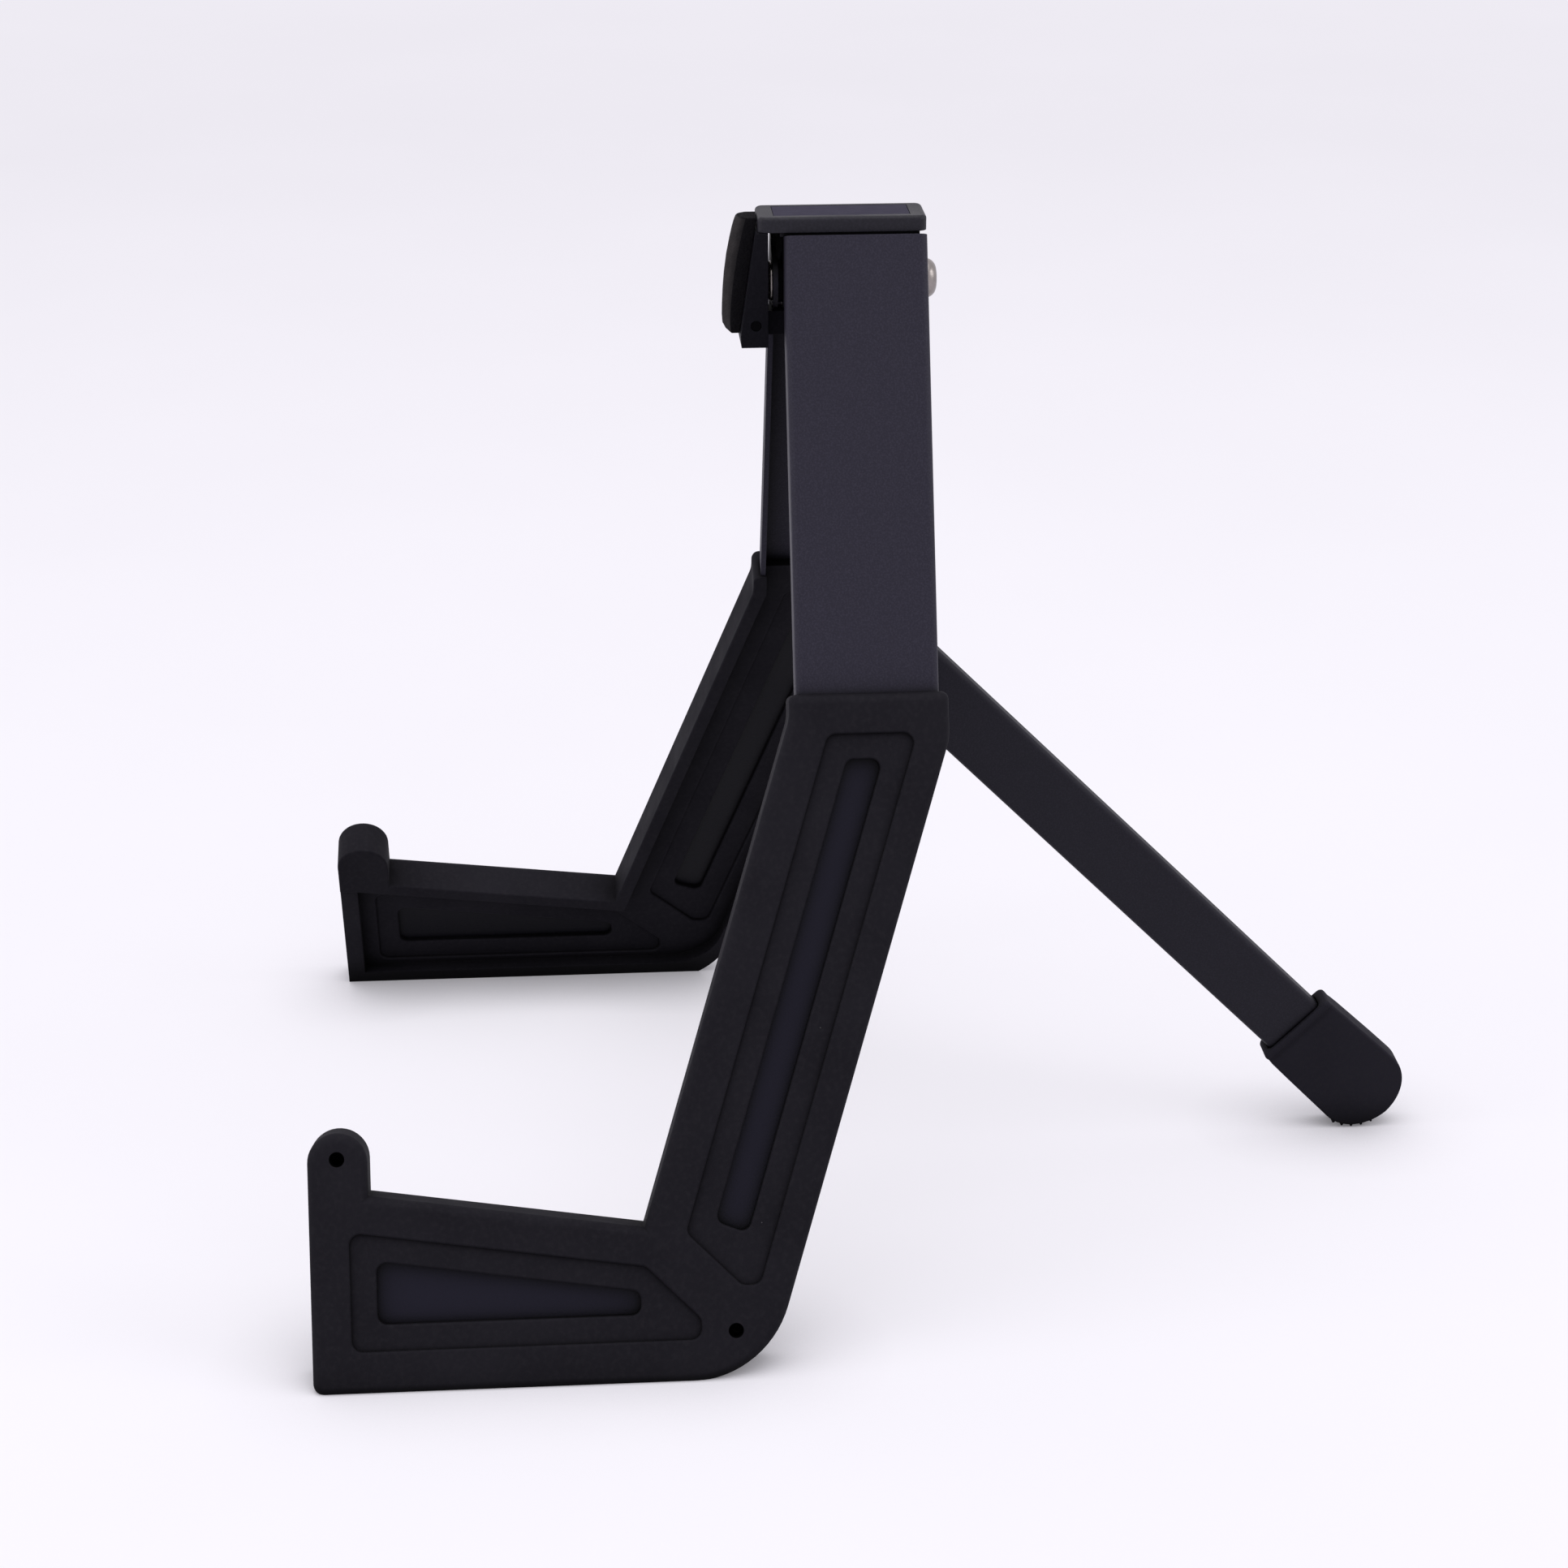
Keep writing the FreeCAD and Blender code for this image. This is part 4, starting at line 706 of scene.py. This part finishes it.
@dataclass
class Finishes:
    """All finishes of the stand."""

    coat: bpy.types.Material = field(default_factory=PowderCoat().material)
    leg_coat: bpy.types.Material = field(
        default_factory=PowderCoat(name="leg_powder_coat", painted_shade_below=214 * MM).material
    )
    tube_coat: bpy.types.Material = field(
        default_factory=PowderCoat(
            name="tube_powder_coat", base=(0.0155, 0.0146, 0.0210), fleck=(0.0205, 0.0194, 0.0275)
        ).material
    )
    rubber: bpy.types.Material = field(default_factory=MouldedRubber().material)
    boot_rubber: bpy.types.Material = field(
        default_factory=MouldedRubber(
            name="boot_rubber", base=(0.0165, 0.0156, 0.0216), bloom=(0.0197, 0.0186, 0.0255)
        ).material
    )
    foam: bpy.types.Material = field(default_factory=DenseFoam().material)
    cap: bpy.types.Material = field(
        default_factory=GrainedPlastic(
            name="cap_plastic", base=(0.0092, 0.0084, 0.0140), fleck=(0.0150, 0.0138, 0.0218), gloss=0.25
        ).material
    )
    carrier: bpy.types.Material = field(
        default_factory=GrainedPlastic(
            name="carrier_plastic", base=(0.0056, 0.0053, 0.0080), fleck=(0.0085, 0.0080, 0.0115), gloss=0.05
        ).material
    )
    nylon: bpy.types.Material = field(
        default_factory=GrainedPlastic(
            name="black_nylon", base=(0.0016, 0.0015, 0.0022), fleck=(0.0030, 0.0028, 0.0036), gloss=0.02
        ).material
    )
    nickel: bpy.types.Material = field(
        default_factory=TurnedMetal(
            name="nickel", base=(0.31, 0.28, 0.27), shade=(0.24, 0.22, 0.21), roughness=(0.24, 0.40)
        ).material
    )
    steel: bpy.types.Material = field(
        default_factory=TurnedMetal(
            name="plain_steel", base=(0.42, 0.42, 0.43), shade=(0.33, 0.33, 0.34), roughness=(0.30, 0.46)
        ).material
    )
    plate: bpy.types.Material = field(
        default_factory=TurnedMetal(
            name="bare_plate", base=(0.078, 0.075, 0.094), shade=(0.069, 0.066, 0.084),
            roughness=(0.40, 0.55), stretch=(6.0, 0.15, 1.0), grazing=(0.46, 0.45, 0.52),
        ).material
    )


@dataclass
class Legs:
    """The two steel legs with their rubber covers."""

    finishes: Finishes
    cover_edge: SoftEdge = SoftEdge(0.35 * MM, 2)
    steel_edge: SoftEdge = SoftEdge(0.25 * MM, 2)

    def build(self) -> None:
        """Dresses both legs."""
        for side in (Body.RIGHT_LEG, Body.LEFT_LEG):
            dress(f"{side.value}_channel", self.finishes.leg_coat, self.steel_edge)
            dress(f"{side.value}_cover", self.finishes.rubber, self.cover_edge)


@dataclass
class Head:
    """The head: hinge, spine, cap, pad carrier and back pad."""

    finishes: Finishes
    plastic_edge: SoftEdge = SoftEdge(0.5 * MM, 3)
    steel_edge: SoftEdge = SoftEdge(0.3 * MM, 2)
    pad_base: Vector = field(default_factory=lambda: Vector((0.0, -52.742, 348.41)) * MM)
    pad_lean: float = math.radians(8.4)
    pad_half: float = 5.3 * MM
    pad_round: float = 0.35 * MM
    pad_fullness: float = 3.2
    pad_stations: tuple[tuple[float, float, float], ...] = (
        (0.0, 3.2, 3.9), (1.3, 3.5, 5.3), (3.2, 3.9, 6.6), (6.0, 4.3, 7.2), (10.0, 4.7, 7.7),
        (16.0, 5.0, 8.3), (22.0, 5.1, 8.7), (29.0, 5.05, 8.8), (35.0, 4.7, 8.5), (39.0, 4.4, 8.2),
        (41.8, 4.1, 7.8), (43.6, 3.9, 7.4),
    )
    arc_points: int = 28

    def build(self) -> None:
        """Dresses the head's solids and adds the pad."""
        for name in ("spine_tube", "head_plate"):
            dress(name, self.finishes.coat, self.steel_edge)
        dress("pad_bracket", self.finishes.carrier, self.steel_edge)
        dress("top_cap", self.finishes.cap)
        dress("pad_carrier", self.finishes.carrier, self.plastic_edge)
        dress("cap_badge", self.finishes.plate, self.steel_edge)
        dress("hinge_rivet", self.finishes.nickel)
        for name in ("bracket_rivets", "rear_pivot_pin", "rear_stop_pin"):
            dress(name, self.finishes.steel)
        for name in ("cap_screws", "hinge_spacer", "hinge_collars"):
            dress(name, self.finishes.steel)
        for name in ("carrier_pin", "hinge_washers", "rear_washers"):
            dress(name, self.finishes.nylon)
        self.back_pad()

    def pad_loop(self, rise: float, side: float, crown: float, inset: float) -> Loop:
        """One level section of the pad.

        Args:
            rise: Height above the pad's lower end.
            side: Depth of its flat sides.
            crown: Depth at the middle of its front.
            inset: Distance that the section is drawn in at an end.

        Returns:
            The section's points.
        """
        half = self.pad_half - inset
        side -= inset
        crown -= inset
        seat = self.pad_base + Vector((0.0, rise * math.tan(self.pad_lean), rise))
        points = [Vector((half, -side * step / 3, 0.0)) for step in range(3)]
        for index in range(self.arc_points + 1):
            across = math.cos(math.radians(180) * index / self.arc_points)
            bow = 1 - abs(across) ** self.pad_fullness
            points.append(Vector((half * across, -side - (crown - side) * bow, 0.0)))
        points += [Vector((-half, -side * (2 - step) / 3, 0.0)) for step in range(3)]
        return [seat + point for point in points]

    def back_pad(self) -> None:
        """Models the foam pad: flat sides and level ends, with a front that bows both ways."""
        rows = [tuple(size * MM for size in station) for station in self.pad_stations]
        first, last = rows[0], rows[-1]
        loops = [self.pad_loop(*first, self.pad_round)]
        for rise, side, crown in rows:
            if rise == first[0]:
                rise += self.pad_round
            elif rise == last[0]:
                rise -= self.pad_round
            loops.append(self.pad_loop(rise, side, crown, 0.0))
        loops.append(self.pad_loop(*last, self.pad_round))
        shape = bmesh.new()
        loft(shape, loops, (True, True))
        pad = piece_from("foam_pad", shape, self.finishes.foam)
        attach(pad, Body.HEAD.value)
        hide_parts("back_pad")
        LOG.info("made %s", pad.name)


@dataclass
class RearLeg:
    """The rear leg: flat tube, insert and rubber boot."""

    finishes: Finishes
    length: float = 295.7 * MM
    foot_radius: float = 18.0 * MM
    boot_end: float = 16.0 * MM
    boot_sections: tuple[tuple[float, float, float, float, float], ...] = (
        (36.5, 4.75, -13.85, 13.85, 2.0), (41.2, 4.75, -13.85, 13.85, 2.0), (41.7, 5.0, -14.2, 14.2, 2.1),
        (41.9, 5.4, -15.0, 15.4, 2.3), (41.8, 5.9, -15.9, 16.7, 2.2), (41.5, 6.35, -16.6, 17.6, 2.0),
        (40.9, 6.6, -17.1, 18.0, 1.8), (40.2, 6.7, -17.35, 18.1, 1.6), (39.5, 6.6, -17.4, 18.1, 1.5),
        (38.9, 6.2, -17.4, 18.1, 1.4), (38.4, 5.75, -17.35, 18.1, 1.3), (37.8, 5.55, -17.35, 18.1, 1.2),
        (37.1, 5.7, -17.4, 18.1, 1.2), (36.2, 6.0, -17.45, 18.15, 1.1), (35.0, 6.2, -17.5, 18.2, 1.1),
        (32.0, 6.2, -17.55, 18.4, 1.1), (25.0, 6.2, -17.7, 18.7, 1.1), (12.0, 6.2, -17.85, 19.2, 1.1),
        (0.0, 6.2, -18.0, 19.5, 1.1),
    )
    end_steps: int = 26
    end_turn: float = math.radians(89.4)
    rib_pitch: float = math.radians(13.4)
    rib_half: float = 0.65 * MM
    rib_height: float = 1.05 * MM
    rib_root: float = 0.6 * MM
    rib_round: float = 0.3 * MM
    rib_steps: int = 8
    ribs: range = range(-2, 3)

    def build(self) -> None:
        """Dresses the leg's solids and adds the boot."""
        dress("rear_leg_tube", self.finishes.tube_coat)
        dress("rear_leg_insert", self.finishes.nylon)
        dress("insert_rivet", self.finishes.steel)
        for piece in (self.boot(), self.grip()):
            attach(piece, Body.REAR_LEG.value)
            LOG.info("made %s", piece.name)

    def pivot(self) -> Vector:
        """Pivot of the leg in the row frame."""
        joint = next(item for item in frame["joints"] if item["child"] == Body.REAR_LEG.value)
        return Vector(joint["pos_m"])

    def lean(self) -> float:
        """Angle of the open leg from upright, with its round foot on the floor."""
        return math.acos((self.pivot().z - self.foot_radius) / self.length)

    def matrix(self) -> Matrix:
        """Place of the leg, drawn hanging straight down from its pivot."""
        return Matrix.Translation(self.pivot()) @ Matrix.Rotation(self.lean(), 4, "X")

    def boot_loop(self, rise: float, half_x: float, low: float, high: float, radius: float) -> Loop:
        """One section of the boot across the leg.

        Args:
            rise: Height of the section above the centre of the round end.
            half_x: Half of its thickness.
            low: Place of its lower side across the leg.
            high: Place of its upper side.
            radius: Rounding of its corners.

        Returns:
            The section's points.
        """
        half_y = (high - low) / 2
        outline = rounded_rectangle(half_x, half_y, min(radius, half_y * 0.95))
        middle = Vector((0.0, (low + high) / 2, rise - self.length))
        return [self.matrix() @ (middle + Vector((x, y, 0.0))) for x, y in outline]

    def boot(self) -> bpy.types.Object:
        """Models the boot with its socket, soft lip and round end.

        Returns:
            The boot, which stands for the drawn one.
        """
        rows = [tuple(size * MM for size in section) for section in self.boot_sections]
        loops = [self.boot_loop(*row) for row in rows]
        _, half_x, low, high, radius = rows[-1]
        middle, half_y = (low + high) / 2, (high - low) / 2
        for step in range(1, self.end_steps + 1):
            turn = self.end_turn * step / self.end_steps
            reach = half_y * math.cos(turn)
            rise = -self.boot_end * math.sin(turn)
            loops.append(self.boot_loop(rise, half_x, middle - reach, middle + reach, radius))
        shape = bmesh.new()
        loft(shape, loops, (True, True))
        boot = piece_from("rubber_boot", shape, self.finishes.boot_rubber)
        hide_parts("rear_leg_boot")
        return boot

    def grip(self) -> bpy.types.Object:
        """Models the small ribs under the boot's round end.

        Returns:
            The ribs.
        """
        matrix = self.matrix()
        _, half_x, low, high, radius = (size * MM for size in self.boot_sections[-1])
        half_y = (high - low) / 2
        centre = Vector((0.0, (low + high) / 2, -self.length))
        lowest = math.atan2(-self.boot_end * math.cos(self.lean()), -half_y * math.sin(self.lean()))
        profile = [(-self.rib_half, -self.rib_root), (self.rib_half, -self.rib_root)]
        for index in range(self.rib_steps + 1):
            turn = math.radians(180) * index / self.rib_steps
            profile.append((self.rib_half * math.cos(turn), self.rib_height * math.sin(turn)))
        shape = bmesh.new()
        for number in self.ribs:
            turn = lowest + number * self.rib_pitch
            foot = centre + Vector((0.0, half_y * math.cos(turn), self.boot_end * math.sin(turn)))
            out = Vector((0.0, math.cos(turn) / half_y, math.sin(turn) / self.boot_end)).normalized()
            along = Vector((0.0, -out.z, out.y))
            loops = slab_loops(
                profile, half_x - radius * 0.7, self.rib_round, 3,
                lambda x, a, b: matrix @ (foot + Vector((x, 0.0, 0.0)) + along * a + out * b),
            )
            loft(shape, loops, (True, True))
        return piece_from("boot_grip", shape, self.finishes.boot_rubber)


@dataclass(frozen=True)
class Panel:
    """One square light panel: its centre, side length and power in watts."""

    name: str
    place: tuple[float, float, float]
    size: float
    power: float


@dataclass
class Studio:
    """Pale floor, soft light and the camera of the photograph."""

    floor_size: float = 14.0
    sky: tuple[float, float] = (0.36, 0.90)
    seen_sky: float = 0.95
    panels: tuple[Panel, ...] = (
        Panel("top_panel", (0.2, 0.0, 2.3), 1.8, 13.0),
        Panel("front_panel", (0.5, -1.9, 1.2), 1.2, 9.0),
        Panel("rear_panel", (0.6, 1.9, 1.3), 1.2, 10.0),
    )
    aim: Vector = field(default_factory=lambda: Vector((0.0, 0.0, 0.2)))
    eye: Vector = field(default_factory=lambda: Vector((1196.952, -120.65, 678.688)) * MM)
    yaw: float = math.radians(4.06906)
    pitch: float = math.radians(23.29966)
    roll: float = math.radians(0.05305)
    lens: float = 75.25
    sensor: float = 36.0

    def build(self) -> None:
        """Sets the floor, the light and the camera."""
        self.floor()
        self.light()
        self.camera()

    def floor(self) -> None:
        """Lays a wide pale floor."""
        shape = bmesh.new()
        bmesh.ops.create_grid(shape, x_segments=1, y_segments=1, size=self.floor_size / 2)
        floor = piece_from("floor", shape, PaleCloth().material())

    def light(self) -> None:
        """Lights the stand with soft panels under a sky."""
        self.dome()
        for panel in self.panels:
            self.hang(panel)

    def dome(self) -> None:
        """Makes a soft sky, brighter overhead, that is plain white where it is seen."""
        world = bpy.data.worlds.new("studio")
        world.use_nodes = True
        nodes, links = world.node_tree.nodes, world.node_tree.links
        split = nodes.new("ShaderNodeSeparateXYZ")
        links.new(nodes.new("ShaderNodeTexCoord").outputs["Generated"], split.inputs["Vector"])
        rise = nodes.new("ShaderNodeMapRange")
        rise.inputs["To Min"].default_value, rise.inputs["To Max"].default_value = self.sky
        links.new(split.outputs["Z"], rise.inputs["Value"])
        strength = nodes.new("ShaderNodeMix")
        links.new(seen_directly(nodes, links), strength.inputs["Factor"])
        links.new(rise.outputs["Result"], strength.inputs["A"])
        strength.inputs["B"].default_value = self.seen_sky
        background = nodes["Background"]
        background.inputs["Color"].default_value = (*STUDIO_WHITE, 1.0)
        links.new(strength.outputs["Result"], background.inputs["Strength"])
        bpy.context.scene.world = world

    def hang(self, panel: Panel) -> None:
        """Hangs one light panel that faces the stand.

        Args:
            panel: The panel.
        """
        lamp = bpy.data.lights.new(panel.name, "AREA")
        lamp.size = panel.size
        lamp.energy = panel.power
        holder = bpy.data.objects.new(panel.name, lamp)
        holder.location = panel.place
        holder.rotation_euler = (self.aim - Vector(panel.place)).to_track_quat("-Z", "Y").to_euler()
        bpy.context.scene.collection.objects.link(holder)

    def camera(self) -> None:
        """Places the camera of the photograph."""
        ahead = Vector(
            (
                -math.cos(self.pitch) * math.cos(self.yaw),
                math.cos(self.pitch) * math.sin(self.yaw),
                -math.sin(self.pitch),
            )
        )
        level = ahead.cross(Vector((0.0, 0.0, 1.0))).normalized()
        above = level.cross(ahead)
        right = level * math.cos(self.roll) + above * math.sin(self.roll)
        up = above * math.cos(self.roll) - level * math.sin(self.roll)
        lens = bpy.data.cameras.new("photo_camera")
        lens.sensor_fit = "HORIZONTAL"
        lens.sensor_width = self.sensor
        lens.lens = self.lens
        camera = bpy.data.objects.new("photo_camera", lens)
        turn = Matrix((right, up, -ahead)).transposed()
        camera.matrix_world = Matrix.Translation(self.eye) @ turn.to_4x4()
        bpy.context.scene.collection.objects.link(camera)
        bpy.context.scene.camera = camera


def main() -> None:
    """Builds and dresses the stand in its studio."""
    logging.basicConfig(level=logging.INFO, format="%(name)s: %(message)s")
    bpy.context.scene.view_settings.view_transform = "Standard"
    finishes = Finishes()
    Legs(finishes).build()
    Head(finishes).build()
    RearLeg(finishes).build()
    Studio().build()


if __name__ == "__main__":
    main()
